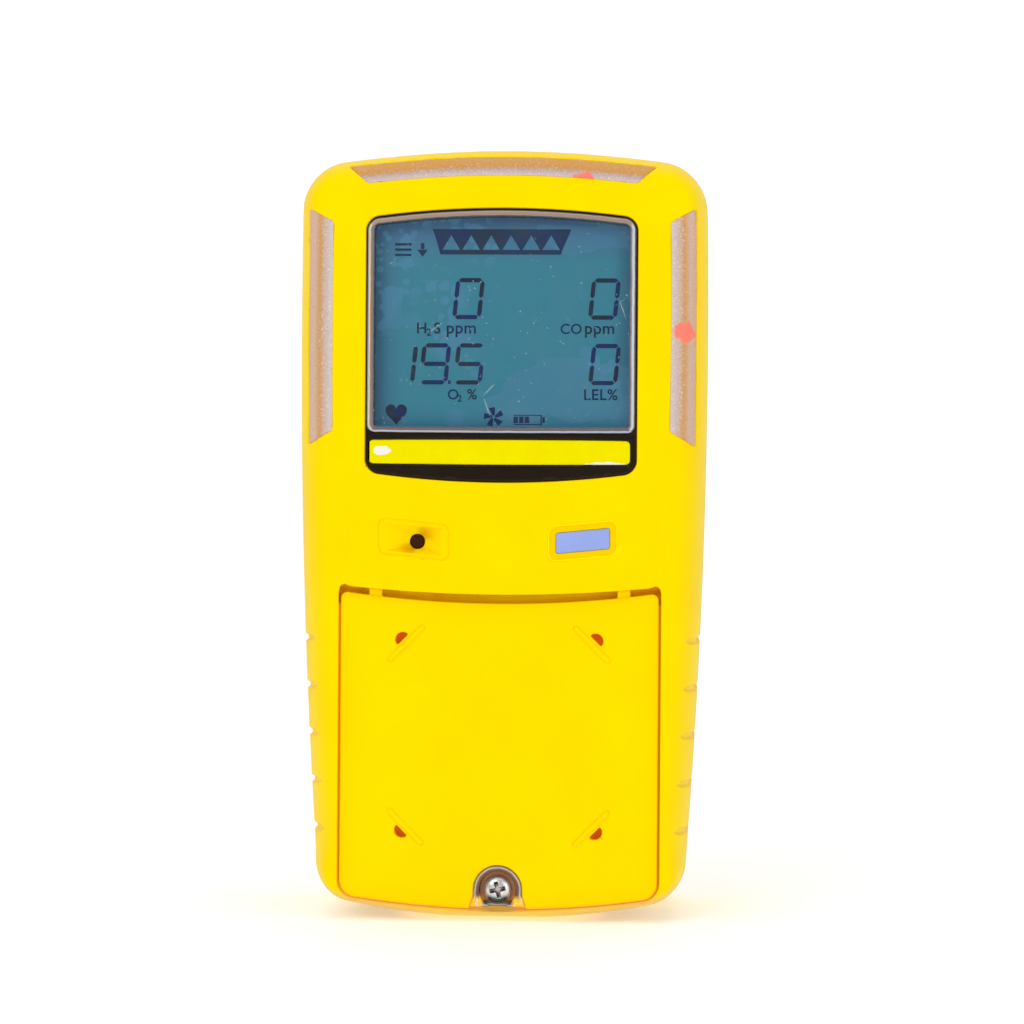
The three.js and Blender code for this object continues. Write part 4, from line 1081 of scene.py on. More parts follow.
def lcd_glass():
    paint = Paint("lcd_glass")
    low, high = mm_box("lcd_panel")
    height = paint.level(paint.z, 82.5 * MM, 118.5 * MM)
    across = paint.level(paint.x, low[0] * MM, high[0] * MM)
    # painted shade: the teal turns darker towards the top and base and, in the loop below, towards the left
    # and right edges
    teal = (
        (0.0, (0.036, 0.2, 0.34)), (0.14, (0.037, 0.24, 0.34)), (0.8, (0.042, 0.245, 0.345)),
        (0.93, (0.06, 0.18, 0.33)), (1.0, (0.055, 0.14, 0.27)),
    )
    base = paint.ramp(height, *teal)
    for limits in ((0.14, 0.03), (0.9, 0.985)):
        base = paint.blend(paint.level(across, *limits), base, (0.045, 0.14, 0.25))
    flat = paint.mapped(Scale=(1, 0, 1))
    blots = []
    for scale, seed, size in ((190.0, 0.0, 0.38), (330.0, 3.1, 0.36), (520.0, 7.7, 0.32)):
        cell = paint.cells(scale, "SMOOTH_F1", paint.mapped(Vector=flat, Location=(seed, 0, seed)))
        blots.append(paint.level(cell, size, size - 0.05))
    blot = paint.most(*blots)
    patch = paint.noise(60.0, 1.0, 0.5, flat)
    left = paint.level(across, 0.6, 0.1)
    crowded = left * paint.level(height, 0.3, 0.75)
    where = paint.level(patch + crowded * 0.2, 0.55, 0.62)
    blot = blot * where
    base = paint.blend(blot * 0.6, base, (0.08, 0.27, 0.46))
    # one wide pale patch runs from the lower middle to the right edge, another across the top right
    ragged = (paint.noise(120.0, 2.0, 0.5, flat) - 0.5) * (7 * MM)
    pale_patches = []
    for x, z, wide, tall in ((14.0, 90.0, 14.0, 5.4), (2.0, 86.5, 5.5, 3.4), (14.0, 115.5, 10.0, 3.0)):
        dx = (paint.x - x * MM + ragged) / (wide * MM)
        dz = (paint.z - z * MM + ragged) / (tall * MM)
        round_about = dx * dx + dz * dz
        pale_patches.append(paint.level(round_about, 1.0, 0.93))
    pale_patch = paint.most(*pale_patches)
    base = paint.blend(pale_patch * 0.42, base, (0.085, 0.25, 0.42))
    sparkle = paint.noise(2200.0, 2.0, 0.6)
    base = paint.blend(paint.level(sparkle, 0.5, 0.75) * 0.12, base, (0.1, 0.3, 0.4))
    # painted light: the panel glows a little in its own colour
    return paint.finish(
        base, 0.4, paint.bump(sparkle, 0.08, 0.02), Specular_IOR_Level=0.2, Emission_Color=base,
        Emission_Strength=0.3,
    )


def lcd_ink():
    paint = Paint("lcd_ink")
    patch = paint.noise(170.0, 1.0, 0.5)
    colour = paint.ramp(patch, (0.46, (0.022, 0.04, 0.085)), (0.56, (0.014, 0.038, 0.2)))
    faded = paint.level(paint.z, 111 * MM, 112 * MM) * 0.45
    colour = paint.blend(faded, colour, (0.045, 0.1, 0.19))
    speck = paint.noise(3000.0, 2.0)
    colour = paint.blend(paint.level(speck, 0.62, 0.75) * 0.35, colour, (0.06, 0.13, 0.22))
    return paint.finish(colour, 0.5, paint.bump(speck, 0.1, 0.02), Specular_IOR_Level=0.1)


# bands of painted reflection and shade on the window's bevel, by how far in they run from the edge in
# millimetres
RIM = 1.3
RIM_REFLECTION_BANDS = {
    "base": [
        (0, 0.12, (0.27, 0.11, 0.04)), (0.12, 0.42, (0.42, 0.52, 0.64)), (0.42, 0.8, (0.19, 0.11, 0.08)),
        (0.8, 1.3, (0.06, 0.13, 0.2)),
    ],
    "Red": [
        (0, 0.32, (0.36, 0.43, 0.56)), (0.32, 0.5, (0.8, 0.72, 0.55)), (0.5, 0.68, (0.5, 0.22, 0.05)),
        (0.68, 1.3, (0.2, 0.19, 0.21)),
    ],
    "Green": [
        (0, 0.3, (0.15, 0.12, 0.13)), (0.3, 0.72, (0.54, 0.6, 0.7)), (0.72, 0.95, (0.3, 0.22, 0.17)),
        (0.95, 1.3, (0.1, 0.14, 0.2)),
    ],
    "Blue": [
        (0, 0.22, (0.12, 0.1, 0.11)), (0.22, 0.42, (0.4, 0.36, 0.34)), (0.42, 0.95, (0.36, 0.25, 0.18)),
        (0.95, 1.3, (0.1, 0.12, 0.16)),
    ],
}


def window_plastic():
    """The thin clear window: it lets light through, and carries dust and scratches. The bevel round
    it carries painted reflections of the frame and the light as thin bands, unlike on each side."""
    paint = Paint("clear_window")
    marks = paint.scratches(1.7, 42.0, 0.05, 0.62)
    flat = paint.mapped(Scale=(1, 0.1, 1))
    lint = paint.level(paint.cells(900.0, "F1", flat), 0.12, 0.05)
    lint = lint * paint.level(paint.noise(500.0, 1.0, 0.5, flat), 0.5, 0.56)
    dust = paint.most(marks * 0.42, lint * 0.65)
    haze = paint.level(paint.noise(120.0, 5.0, 0.7), 0.5, 0.85) * 0.03
    dust = paint.math("ADD", dust, haze, True)
    see = paint.out("ShaderNodeBsdfTransparent", 0, {"Color": (0.97, 0.985, 0.98, 1)})
    smudge = paint.noise(90.0, 4.0) * 0.12 + 0.03
    sheen = {"Color": (0.55, 0.55, 0.55, 1), "Roughness": smudge, "Normal": paint.bump(marks, 0.3, 0.04)}
    shine = paint.out("ShaderNodeBsdfGlossy", 0, sheen)
    chalk = paint.out("ShaderNodeBsdfDiffuse", 0, {"Color": (0.62, 0.68, 0.7, 1)})
    edge = paint.out("ShaderNodeFresnel", 0, {"IOR": 1.4})
    inset = paint.read("rim") + (paint.noise(650.0, 3.0, 0.6) - 0.5) * 0.22
    sides = paint.node("ShaderNodeSeparateColor", {"Color": paint.read("edges", "Color")})
    colour = None
    for name, bands in RIM_REFLECTION_BANDS.items():
        stops = [stop for low, high, shade in bands for stop in ((low + 0.02, shade), (high - 0.02, shade))]
        band = paint.ramp(inset / RIM, *[(spot / RIM, shade) for spot, shade in stops])
        colour = band if colour is None else paint.blend(Value(paint, sides.outputs[name]), colour, band)
    rim_reflection = paint.out(
        "ShaderNodeBsdfPrincipled", 0, {"Base Color": colour, "Roughness": 0.3, "Specular IOR Level": 0.3}
    )
    shown = paint.level(inset, RIM, 0.95) * 0.94
    whole = see
    for share, shader in ((edge, shine), (dust, chalk), (shown, rim_reflection)):
        whole = paint.out("ShaderNodeMixShader", 0, {0: share, 1: whole, 2: shader})
    return paint.show(whole)


def retainer_plastic():
    """The clear arch round the cover screw: its bevel, wall and floor show as rings of painted reflection
    and shade.
    """
    paint = Paint("clear_retainer")
    inset = paint.read("inset")
    wobble = (paint.noise(800.0, 3.0, 0.6) - 0.5) * 0.35
    rings = (
        (0.0, (0.28, 0.17, 0.06)), (0.08, (0.3, 0.26, 0.24)), (0.17, (0.6, 0.57, 0.54)),
        (0.25, (0.19, 0.13, 0.1)), (0.38, (0.13, 0.05, 0.015)), (0.56, (0.12, 0.035, 0.006)),
        (0.66, (0.5, 0.16, 0.005)), (1.0, (0.46, 0.14, 0.005)),
    )
    colour = paint.ramp((inset + wobble) / 1.75, *rings)
    # the lower corners are painted amber, as the yellow case seen through them, with pale flecks of painted
    # highlight
    across = abs(paint.x)
    corner = paint.level(paint.z, 4.3 * MM, 3.5 * MM) * paint.level(across, 2.2 * MM, 2.9 * MM)
    painted_glints = paint.level(paint.noise(1600.0, 2.0, 0.6), 0.56, 0.62)
    amber = paint.blend(painted_glints, (0.95, 0.56, 0.005), (0.85, 0.75, 0.6))
    colour = paint.blend(corner, colour, amber)
    marks = paint.scratches(0.9, 26.0, 0.05, 0.5)
    colour = paint.blend(marks * 0.5, colour, (0.6, 0.6, 0.6))
    rough = paint.noise(500.0) * 0.2 + 0.08
    return paint.finish(colour, rough, paint.bump(marks, 0.3, 0.04), Coat_Weight=0.15, Coat_Roughness=0.05)


def plain_plastic(name, colour, rough, grain=0.15, scale=3000.0, worn=(0.3, 0.3, 0.3), **extra):
    paint = Paint(name)
    tone = paint.noise(140.0, 4.0)
    dark = tuple(c * 0.86 for c in colour)
    body = paint.blend(paint.level(tone, 0.3, 0.7), dark, colour)
    marks = paint.scratches(1.9, 50.0, 0.035, 0.45)
    body = paint.blend(marks * 0.3, body, worn)
    texture = paint.noise(scale, 3.0)
    roughness = tone * 0.14 + rough - 0.07
    return paint.finish(body, roughness, paint.bump(texture, grain, 0.05), **extra)


def membrane_shade_and_glow():
    """The orange filter paper over a sensor; its deep orange stands for the shade seen through the ports,
    and it glows a little in its own colour: painted shade and painted light.
    """
    paint = Paint("membrane_shade_and_glow")
    weave = paint.noise(4200.0, 3.0, 0.7)
    body = paint.blend(weave, (0.45, 0.07, 0.001), (0.54, 0.095, 0.001))
    return paint.finish(
        body, 0.8, paint.bump(weave, 0.5, 0.05), Emission_Color=body, Emission_Strength=0.55
    )


def metal(name, colour, rough, brushed=(1, 1, 1), worn=0.2):
    paint = Paint(name)
    lines = paint.noise(900.0, 5.0, 0.7, paint.mapped(Scale=brushed))
    blotch = paint.noise(260.0, 4.0)
    body = paint.blend(paint.level(blotch, 0.35, 0.7), tuple(c * 0.8 for c in colour), colour)
    roughness = lines * 0.2 + blotch * worn + rough - 0.1
    return paint.finish(body, roughness, paint.bump(lines, 0.12, 0.03), Metallic=1.0)


def painted_reflection_head():
    """The cover screw's bright head, with painted reflection and shade: dark in its cross, blue-grey
    towards the foot, pale at the sides.
    """
    paint = Paint("steel_painted_reflection")
    lines = paint.noise(1500.0, 4.0, 0.7)
    across, _, up = paint.split(paint.out("ShaderNodeTexCoord", "Normal"))
    body = paint.blend(paint.level(lines, 0.35, 0.7), (0.62, 0.6, 0.58), (0.85, 0.84, 0.82))
    body = paint.blend(paint.level(up, -0.12, -0.4), body, (0.06, 0.08, 0.12))
    body = paint.blend(paint.level(abs(across), 0.45, 0.75), body, (0.9, 0.9, 0.9))
    body = paint.blend(paint.cavity(0.7, 0.85, 0.4), body, (0.04, 0.03, 0.022))
    rough = lines * 0.15 + 0.2
    return paint.finish(body, rough, paint.bump(lines, 0.15, 0.03), Metallic=0.75)


def label_film():
    paint = Paint("label_film")
    tone = paint.noise(200.0, 3.0)
    body = paint.ramp(tone, (0.35, (0.84, 0.72, 0.0)), (0.65, (0.88, 0.77, 0.0)))
    # two whitish patches on the print, one at the left and one at the lower right
    worn = []
    for x, z, wide, tall in ((-20.1, 79.3, 1.5, 0.75), (17.6, 77.05, 3.3, 0.42)):
        dx = (paint.x - x * MM) / (wide * MM)
        dz = (paint.z - z * MM) / (tall * MM)
        away = paint.math("SQRT", abs(dx)**2.0 + abs(dz)**2.0)
        ragged = away + (paint.noise(900.0, 3.0) - 0.5) * 1.1
        worn.append(paint.level(ragged, 1.08, 0.96))
    patch = paint.most(*worn)
    body = paint.blend(patch, body, (0.86, 0.84, 0.74))
    return paint.finish(
        body, 0.4, paint.bump(patch, 0.3, -0.05), Specular_IOR_Level=0.3, Specular_Tint=(1.0, 0.9, 0.02, 1)
    )


def circuit_board():
    paint = Paint("circuit_board")
    tracks = paint.cells(420.0, "DISTANCE_TO_EDGE", paint.mapped(Scale=(1, 0.2, 1)), 0.35)
    line = paint.level(tracks, 0.09, 0.06)
    pads = paint.level(paint.cells(700.0, "F1", None, 0.5), 0.16, 0.12)
    body = paint.blend(line, (0.012, 0.12, 0.045), (0.02, 0.2, 0.08))
    body = paint.blend(pads * 0.8, body, (0.6, 0.58, 0.5))
    return paint.finish(body, 0.3, paint.bump(line, 0.3, 0.05), Coat_Weight=0.4, Coat_Roughness=0.15)


def wrapped_battery():
    paint = Paint("battery_wrap")
    band = paint.level(abs(paint.z - 98 * MM), 3.0 * MM, 2.9 * MM)
    creases = paint.noise(90.0, 5.0, 0.65, paint.mapped(Scale=(1, 1, 0.3)))
    body = paint.blend(band, (0.02, 0.08, 0.24), (0.5, 0.52, 0.55))
    return paint.finish(body, 0.25, paint.bump(creases, 0.35, 0.3), Coat_Weight=0.5)


YELLOW = yellow_plastic()
LCD = lcd_glass()
INK = lcd_ink()
CLEAR = window_plastic()
CLEAR_ARCH = retainer_plastic()
BROWN_SHINE = {"Specular_IOR_Level": 0.25, "Specular_Tint": (0.6, 0.4, 0.25, 1)}
GLOSS_BLACK = plain_plastic(
    "gloss_black", (0.012, 0.008, 0.005), 0.14, 0.04, worn=(0.25, 0.2, 0.15), Coat_Weight=0.12,
    **BROWN_SHINE
)
BLACK = plain_plastic("matte_black", (0.022, 0.022, 0.023), 0.55, 0.3)
BROWN_FILM = plain_plastic("brown_film", (0.05, 0.014, 0.002), 0.6, 0.4, Specular_IOR_Level=0.1)
RUBBER = plain_plastic("black_rubber", (0.014, 0.014, 0.015), 0.75, 0.35, 1800.0)
LILAC = plain_plastic("lilac_rubber", (0.305, 0.392, 0.83), 0.55, 0.2, 2600.0, (0.6, 0.65, 0.85))
WHITE = plain_plastic("white_plastic", (0.72, 0.71, 0.68), 0.5, 0.15)
PORT_SHADE_ORANGE = membrane_shade_and_glow()
DARK_RED = plain_plastic("dark_red", (0.03, 0.002, 0.003), 0.12, 0.03)
LED_RED = plain_plastic("led_red", (0.6, 0.03, 0.02), 0.15, 0.03, Coat_Weight=0.6)
SILICONE = plain_plastic(
    "silicone_tube", (0.62, 0.64, 0.6), 0.4, 0.1, Subsurface_Weight=0.3, Subsurface_Scale=1 * MM
)
STEEL = metal("steel", (0.58, 0.58, 0.59), 0.24)
BRIGHT_STEEL = painted_reflection_head()
SPRING_STEEL = metal("spring_steel", (0.5, 0.5, 0.51), 0.3, (0.15, 1, 1))
BRASS = metal("brass", (0.72, 0.5, 0.2), 0.3)
GOLD = metal("gold_plate", (0.85, 0.6, 0.22), 0.22)
LABEL = label_film()
BOARD = circuit_board()
WRAP = wrapped_battery()

# ---------------------------------------------------------------- case
# grid step of the case, and the spans along X, Y and Z where it is finer, in millimetres
FINE = 0.27
PORTS = ((-21.5, -8, 0.15), (7.5, 20.5, 0.15)), ((FRONT - 0.4, FRONT + 2.2, 0.13),)
GROOVES = tuple((z - 0.9, z + 0.9, 0.15) for z in reversed(NOTCHES))


def foot_edge_shade(x, y, z):
    """Painted shade: 1 along the lower edge of the case, which is drawn tan."""
    return smooth(-1.75, -1.3, case_outline(x, z)) * smooth(8, 3, z) * 0.95


def flush_glow_edges(x, y, z):
    """1 round the button and the light bars, where the gaps are painted light: they glow and are not
    darkened.
    """
    flush_glow = smooth(8.2, 7.4, np.hypot(x - BUTTON[0], (z - BUTTON[1]) * 1.3))
    for side in LIGHTS:
        flush_glow = np.maximum(flush_glow, smooth(0.9, 0.5, light_band((x, y, z), side, 0)))
    return flush_glow * smooth(-20.5, -21.5, y)


def horn_shade(x, y, z):
    """The two shaded quarters of the horn round the sounder's hole."""
    dx, dz = x - SOUNDER[0], z - SOUNDER[1]
    spread = np.hypot(dx, dz)
    quarters = smooth(4.2, 1.5, spread) * smooth(0.0, 0.4, dx * dz / spread**2)
    return 0.8 * quarters * smooth(FRONT + 0.1, FRONT + 0.4, y)


moulded(
    "case_front",
    "front_shell",
    front_shell,
    FINE,
    YELLOW,
    "yellow_case",
    box=((-35, FRONT, 0), (35, PARTING, HEIGHT)),
    values={"foot_shade": foot_edge_shade, "flush_glow": flush_glow_edges, "shade": horn_shade},
    fine=(*PORTS, (*GROOVES, (59.5, 68.5, 0.14))),
)
rear_box = ((-35, PARTING, 0), (35, 17.2, HEIGHT))
moulded(
    "case_rear", "rear_shell", rear_shell, FINE * 1.15, YELLOW, "yellow_case", box=rear_box,
    fine=((), (), GROOVES),
)
seal_box = ((-35, -5, 0), (35, -3, HEIGHT))
moulded(
    "case_seal", "shell_seal", lambda p: seal_groove(p, -0.12), 0.22, RUBBER, "black_rubber", box=seal_box
)

LAMPS = [(13.8, 124.9), (30.9, 99.5)]


def lamp_glow(x, y, z):
    """How near a lamp behind a light bar is, for the red glow painted on the bar."""
    return np.max([0 * x, *(1.35 - np.hypot(x - a, (z - b) * 1.1) / 2.3 for a, b in LAMPS)], axis=0)


for side, (start, wide) in LIGHTS.items():
    shown = {"across": lambda x, y, z: (-case_outline(x, z) - start) / wide, "lamp": lamp_glow}
    look = frosted_lens(side)
    moulded(
        "alarm_light_" + side, "alarm_lens_" + side, lens(side), 0.18, look, "frosted_lens", values=shown
    )


def add_screw(name, node, body, head, tall, shank, length, facing, turn, voxel=0.07, look=STEEL):
    """facing is 1 for a screw driven towards +Y, and -1 for one driven towards -Y."""
    low, high = mm_box(node)
    centre = ((low[0] + high[0]) / 2, (low[2] + high[2]) / 2)
    seat = low[1] + tall if facing > 0 else high[1] - tall

    def distance(p):
        local = (p[0] - centre[0], (p[1] - seat) * facing, p[2] - centre[1])
        return screw(local, head, tall, shank, length, turn)

    moulded(name, node, distance, voxel, look, "steel", body, adaptivity=0.02)


add_screw("cover_screw_part", "cover_screw", "screw", 2.3, 1.45, 1.05, 5.9, 1, 0.22, 0.06, BRIGHT_STEEL)
for number, (side, level) in enumerate((s, lev) for s in ("left", "right") for lev in ("lower", "upper")):
    node = f"case_screw_{level}_{side}"
    add_screw(node + "_part", node, "housing", 2.3, 1.4, 1.0, 26, -1, 0.4 + number, 0.1)
add_screw("clip_screw_part", "clip_screw", "housing", 2.4, 1.3, 1.1, 5, -1, 0.9)


# ---------------------------------------------------------------- display
def rim_sides(x, y, z):
    """The window rim's left, right and top, as the red, green and blue of a colour."""
    (half, top, bow, _), (_, base, _, _) = WINDOW
    insets = np.stack([z - base, x + half, half - x, top - x**2 / (2 * bow) - z])
    weights = smooth(0.5, 0.0, insets - insets.min(0))
    return np.concatenate([weights[1:], np.ones((1, len(x)))]).T


fine = (((-23.6, -22.2, 0.1), (22.2, 23.6, 0.1)), (), ((118, 121, 0.12),))
moulded("bezel", "display_frame", display_frame, 0.2, GLOSS_BLACK, "black_gloss", fine=fine)
shown = {"rim": lambda x, y, z: -panel(WINDOW, x, z), "edges": rim_sides}
moulded("window_pane", "display_window", window, 0.2, CLEAR, "clear_plastic", adaptivity=0, values=shown)
moulded("label_strip", "name_plate", name_plate, 0.12, LABEL, "label")
boxed("lcd_glass_panel", "lcd_panel", 0.25, LCD, "display_glass")
place(lcd_marks(mm_box("lcd_panel")[0][1]), "housing", INK, "display_glass")
boxed("lcd_backlight_block", "lcd_backlight", 0.4, WHITE, "white_plastic")


# ---------------------------------------------------------------- button, sounder, sensors and cover
def everywhere(x, y, z):
    return np.ones(len(x))


def cover_edge_shade(x, y, z):
    """Painted shade: the cover is a little deeper in colour towards its edge."""
    inside = panel(COVER, x, z)
    return 0.5 * np.exp(np.minimum(inside, 0)) + 0.2 * smooth(-6, 0, inside)


# the button's surround: painted light in its gaps and a deeper yellow of painted shade
shown = {"flush_glow": everywhere, "ring": everywhere}
moulded("button_rim", "button_surround", button_surround, 0.12, YELLOW, "yellow_case", values=shown)
moulded("button_cap", "push_button", push_button, 0.12, LILAC, "button_lilac", "button")
moulded(
    "cover_plate", "sensor_cover", sensor_cover, 0.2, YELLOW, "yellow_case", "cover",
    values={"ring": cover_edge_shade},
)
low, high = mm_box("screw_retainer")
low[0], high[0] = low[0] - 0.7, high[0] + 0.7
moulded(
    "cover_screw_window",
    "screw_retainer",
    screw_retainer,
    0.1,
    CLEAR_ARCH,
    "clear_plastic",
    "cover",
    box=(low, high),
    values={"inset": lambda x, y, z: -arch(x, z, 4.05, 2.3)},
    adaptivity=0,
)


def turned_part(name, node, profile, material, slot, body="housing", axis="y", edge=0.25, steps=72):
    """A turned piece centred on its CAD node; its profile is counted from the node's low end."""
    low, high = mm_box(node)
    centre = [(a + b) / 2 for a, b in zip(low, high)]
    along = "xyz".index(axis)
    centre[along] = low[along]
    shape = rounded_profile(profile, edge) if edge else profile
    return place(lathe(name, shape, centre, axis, steps), body, material, slot, node)


CELL = [
    (0, 0.25), (3.4, 0.25), (3.6, 0), (4.2, 0), (4.2, 0.6), (8.6, 0.6), (9.2, 0.9), (9.2, 1.5), (9.6, 1.6)
]
CELL += [(9.6, 14.6), (9.1, 15.0), (9.1, 15.4), (0, 15.4)]
DISC = [(0, 0.55), (8.4, 0.55), (8.6, 0.6), (8.6, 0.72), (0, 0.72)]
for gas in ("hydrogen_sulfide", "carbon_monoxide", "oxygen", "combustible"):
    turned_part("cell_" + gas, "sensor_" + gas, CELL, WHITE, "white_plastic", edge=0.2)
    low, high = mm_box("sensor_" + gas)
    middle = ((low[0] + high[0]) / 2, COVER_BACK, (low[2] + high[2]) / 2)
    # an orange disc in front of each cell: painted shade and painted light for the ports
    place(lathe("membrane_" + gas, DISC, middle), "housing", PORT_SHADE_ORANGE, "white_plastic")

seal_low, seal_high = mm_box("sensor_seal")


def sensor_seal(p):
    x, y, z = p
    middle_z = (seal_low[2] + seal_high[2]) / 2
    outline = meet(np.abs(x) - seal_high[0], np.abs(z - middle_z) - (seal_high[2] - middle_z), 2.5)
    solid = slab(outline, p, (seal_low[1], seal_high[1]), 0.2)
    for sign_x in (-1, 1):
        for sign_z in (-1, 1):
            solid = cut(solid, np.hypot(x - sign_x * 12, z - SENSOR_Z - sign_z * 11.2) - 8.8, 0.15)
    return cut(solid, np.hypot(x, z - COVER_SCREW_Z) - 5.2, 0.15)


moulded("sensor_gasket", "sensor_seal", sensor_seal, 0.2, RUBBER, "black_rubber")
SOUNDER_CAN = [(0, 0), (2.2, 0), (2.2, 0.8), (6, 0.8), (6, 4.6), (0, 4.6)]
turned_part("sounder_part", "sounder", SOUNDER_CAN, BLACK, "black_plastic")
FILM = [(0, 0), (3, 0), (3, 0.5), (0, 0.5)]
turned_part("sounder_mesh", "sounder_membrane", FILM, BROWN_FILM, "black_plastic", edge=0.1)
INSERT = [(1.5, 0), (2.3, 0), (2.3, 1.8), (2.1, 1.9), (2.1, 2.3), (2.3, 2.4), (2.3, 4.2), (1.5, 4.2)]
turned_part("insert_part", "screw_insert", INSERT, BRASS, "brass", edge=0.1)

# ---------------------------------------------------------------- back of the case
moulded("inlet_cap", "filter_cap", filter_cap, 0.2, BLACK, "black_plastic", "cap")
NOZZLE = [
    (0.9, 0), (4, 0), (4, 0.4), (2.4, 0.4), (2.4, 2.25), (3.8, 2.25), (3.8, 3.2), (1.9, 3.5), (1.9, 4.6)
]
NOZZLE += [(2.4, 4.9), (1.9, 6.2), (2.4, 6.4), (1.8, 8.1), (0.9, 8.1)]
turned_part("hose_barb", "hose_nozzle", NOZZLE, STEEL, "steel", "cap", edge=0.12)
turned_part(
    "inlet_filter", "filter_disc", [(0, 0), (8.6, 0), (8.6, 0.6), (0, 0.6)], WHITE, "white_plastic",
    edge=0.15,
)
ring = [(9.9 + 0.6 * math.cos(a * math.pi / 8), 0.5 + 0.5 * math.sin(a * math.pi / 8)) for a in range(16)]
low, high = mm_box("cap_seal")
place(lathe("cap_ring", ring, (0, low[1], INLET_Z), "y", 96), "housing", RUBBER, "black_rubber", "cap_seal")
moulded("clip_spring_plate", "clip_lever", clip_lever, 0.17, SPRING_STEEL, "steel", "clip")
moulded("clip_base", "clip_bracket", clip_bracket, 0.18, SPRING_STEEL, "steel")
PIN = [(0, 0), (0.6, 0.02), (1, 0.35), (1, 17.65), (0.6, 17.98), (0, 18)]
turned_part("clip_pin_part", "clip_pin", PIN, STEEL, "steel", axis="x", edge=0.1, steps=40)
coil = []
for i in range(91):
    along = min(max((i / 90 - 0.12) / 0.76, 0), 1)
    angle = math.pi * (0.5 + 9 * along)
    leg = max((0.12 - i / 90) / 0.12, (i / 90 - 0.88) / 0.12, 0)
    dy, dz = (-1.9, 5.0) if i < 45 else (1.0, -6.0)
    y, z = CLIP_Y + 1.75 * math.cos(angle) + dy * leg, CLIP_Z + 1.75 * math.sin(angle) + dz * leg
    coil.append((mix(-2.4, 2.4, along), y, z))
place(tube("clip_coil", coil, 0.3, 4, 3), "housing", STEEL, "steel", "clip_spring")

# ---------------------------------------------------------------- underside
contact_low, contact_high = mm_box("contact_block")


def contact_block(p):
    solid = block(p, *zip(contact_low, contact_high), 0.35)
    for x in (-4.8, -1.6, 1.6, 4.8):
        solid = cut(solid, block(p, (x - 0.95, x + 0.95), (5.2, 8.8), (-2, 2), 0.25), 0.15)
    return solid


moulded("contact_base", "contact_block", contact_block, 0.12, BLACK, "black_plastic")
for number in range(1, 5):
    boxed(f"contact_pad_{number}", f"charge_contact_{number}", 0.3, GOLD, "gold_contact")
boxed("infrared_lens", "infrared_window", 0.25, DARK_RED, "dark_red")

# ---------------------------------------------------------------- inside
boxed("battery", "battery_pack", 1.6, WRAP, "battery_wrap", 5)
DOME = [(0, 0), (0.5, 0.05), (0.85, 0.35), (0.95, 0.8), (0.95, 1.2), (1.15, 1.25), (1.15, 2.9), (0, 2.9)]
for where in ("top_left", "top_right", "left", "right"):
    turned_part("led_" + where, "alarm_led_" + where, DOME, LED_RED, "led_red", edge=0, steps=32)
boxed("processor", "processor_chip", 0.15, BLACK, "black_plastic")
MOTOR = [(0, 0), (2, 0), (2, 1.5), (5.8, 1.5), (5.8, 16.2), (0, 16.2)]
turned_part("pump_motor_can", "pump_motor", MOTOR, STEEL, "steel", axis="x", edge=0.4)
VIBRATOR = [(0, 0), (3, 0), (3, 9), (0, 9)]
turned_part("vibrator_can", "vibrator_motor", VIBRATOR, STEEL, "steel", axis="x", edge=0.3)

CAD_LOOKS = {
    "main_board": BOARD,
    "sensor_board": BOARD,
    "button_switch": BLACK,
    "pump_head": BLACK,
    "pump_eccentric": BRASS,
    "vibrator_weight": BRASS,
    "inlet_tube": SILICONE,
    "outlet_tube": SILICONE,
    "battery_lead": RUBBER,
}
CAD_EDGE = 0.12
for node, material in CAD_LOOKS.items():
    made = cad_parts[node]
    made.data.materials.clear()
    made.data.materials.append(material)
    bevel = made.modifiers.new("edges", "BEVEL")
    bevel.width = CAD_EDGE * MM
    bevel.segments = 2
    bevel.limit_method = "ANGLE"
    bevel.angle_limit = math.radians(50)

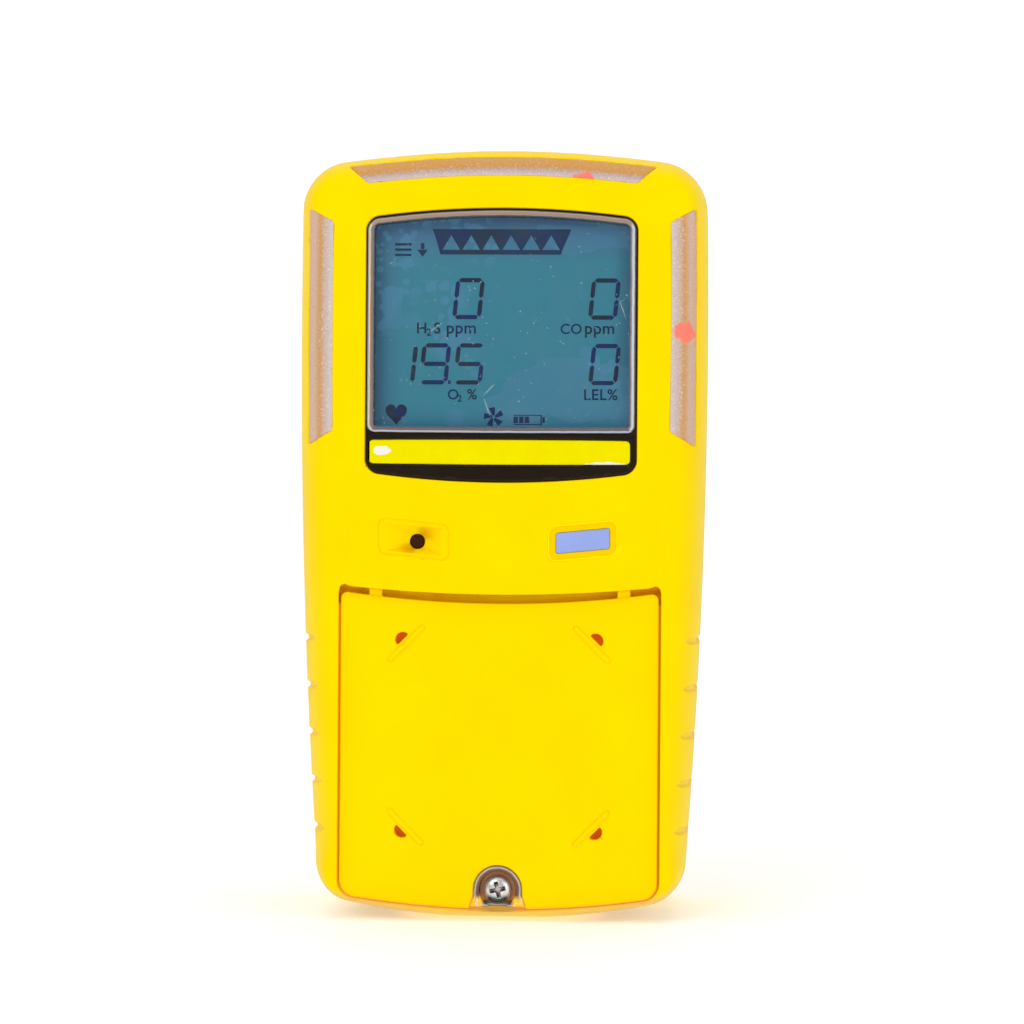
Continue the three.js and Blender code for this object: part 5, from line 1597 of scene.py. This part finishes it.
# ---------------------------------------------------------------- stage, light and camera
def stage_floor():
    """A pale floor that bends up into a wall behind, in metres."""
    made = bmesh.new()
    behind, bend = 0.5, 0.35
    turns = [math.pi / 2 * k / 12 for k in range(1, 13)]
    profile = [(-1.4, 0.0), (behind, 0.0)]
    profile += [(behind + bend * math.sin(a), bend - bend * math.cos(a)) for a in turns]
    profile.append((behind + bend, 1.6))
    rows = [[made.verts.new((x, y, z - 0.0002)) for y, z in profile] for x in (-2.0, 2.0)]
    for i in range(len(profile) - 1):
        made.faces.new([rows[0][i], rows[1][i], rows[1][i + 1], rows[0][i + 1]])
    floor = from_bmesh("floor", made, 80)
    paint = Paint("pale_floor")
    tone = paint.noise(3.0, 3.0)
    body = paint.ramp(tone, (0.3, (0.86, 0.86, 0.86)), (0.7, (0.89, 0.89, 0.89)))
    grain = paint.bump(paint.noise(400.0, 3.0), 0.05, 0.1)
    floor.data.materials.append(
        paint.finish(body, 0.7, grain, Emission_Color=(1, 1, 1, 1), Emission_Strength=0.28)
    )


stage_floor()


def soft_light(name, spot, target, size, watts, colour=(1, 1, 1)):
    lamp = bpy.data.lights.new(name, "AREA")
    lamp.shape = "RECTANGLE"
    lamp.size, lamp.size_y = size
    lamp.energy = watts
    lamp.color = colour
    made = bpy.data.objects.new(name, lamp)
    made.location = spot
    made.rotation_euler = (Vector(target) - Vector(spot)).to_track_quat("-Z", "Y").to_euler()
    bpy.context.scene.collection.objects.link(made)


soft_light("key", (-0.45, -0.85, 0.65), (0, 0, 0.06), (0.6, 0.6), 3.4)
soft_light("fill", (0.75, -0.75, 0.35), (0, 0, 0.06), (0.7, 0.7), 2.0)
soft_light("overhead", (0.0, -0.1, 1.1), (0, 0, 0.06), (1.0, 0.8), 3.0)
world = bpy.data.worlds.new("studio")
bpy.context.scene.world = world
world.use_nodes = True
background = world.node_tree.nodes["Background"].inputs
background["Color"].default_value = (1, 1, 1, 1)
background["Strength"].default_value = 0.45
bpy.context.scene.view_settings.view_transform = "Standard"

camera = bpy.data.objects.new("camera", bpy.data.cameras.new("camera"))
bpy.context.scene.collection.objects.link(camera)
# the photograph's view: a little from the right, rolled a little, and 0.177 mm to a pixel
CAMERA_TURN = math.radians(3.2)
CAMERA_ROLL = math.radians(0.4)
MM_PER_PIXEL = 0.17697
PICTURE = 1024
aim = Vector((0.0006, 0, 0.069))
distance = 0.55
camera.location = aim + Vector((math.sin(CAMERA_TURN), -math.cos(CAMERA_TURN), 0)) * distance
camera.rotation_euler = (aim - camera.location).to_track_quat("-Z", "Y").to_euler()
camera.rotation_euler.rotate_axis("Z", CAMERA_ROLL)
camera.data.sensor_width = 36
camera.data.lens = camera.data.sensor_width * distance / (MM_PER_PIXEL * MM * PICTURE)
bpy.context.scene.camera = camera
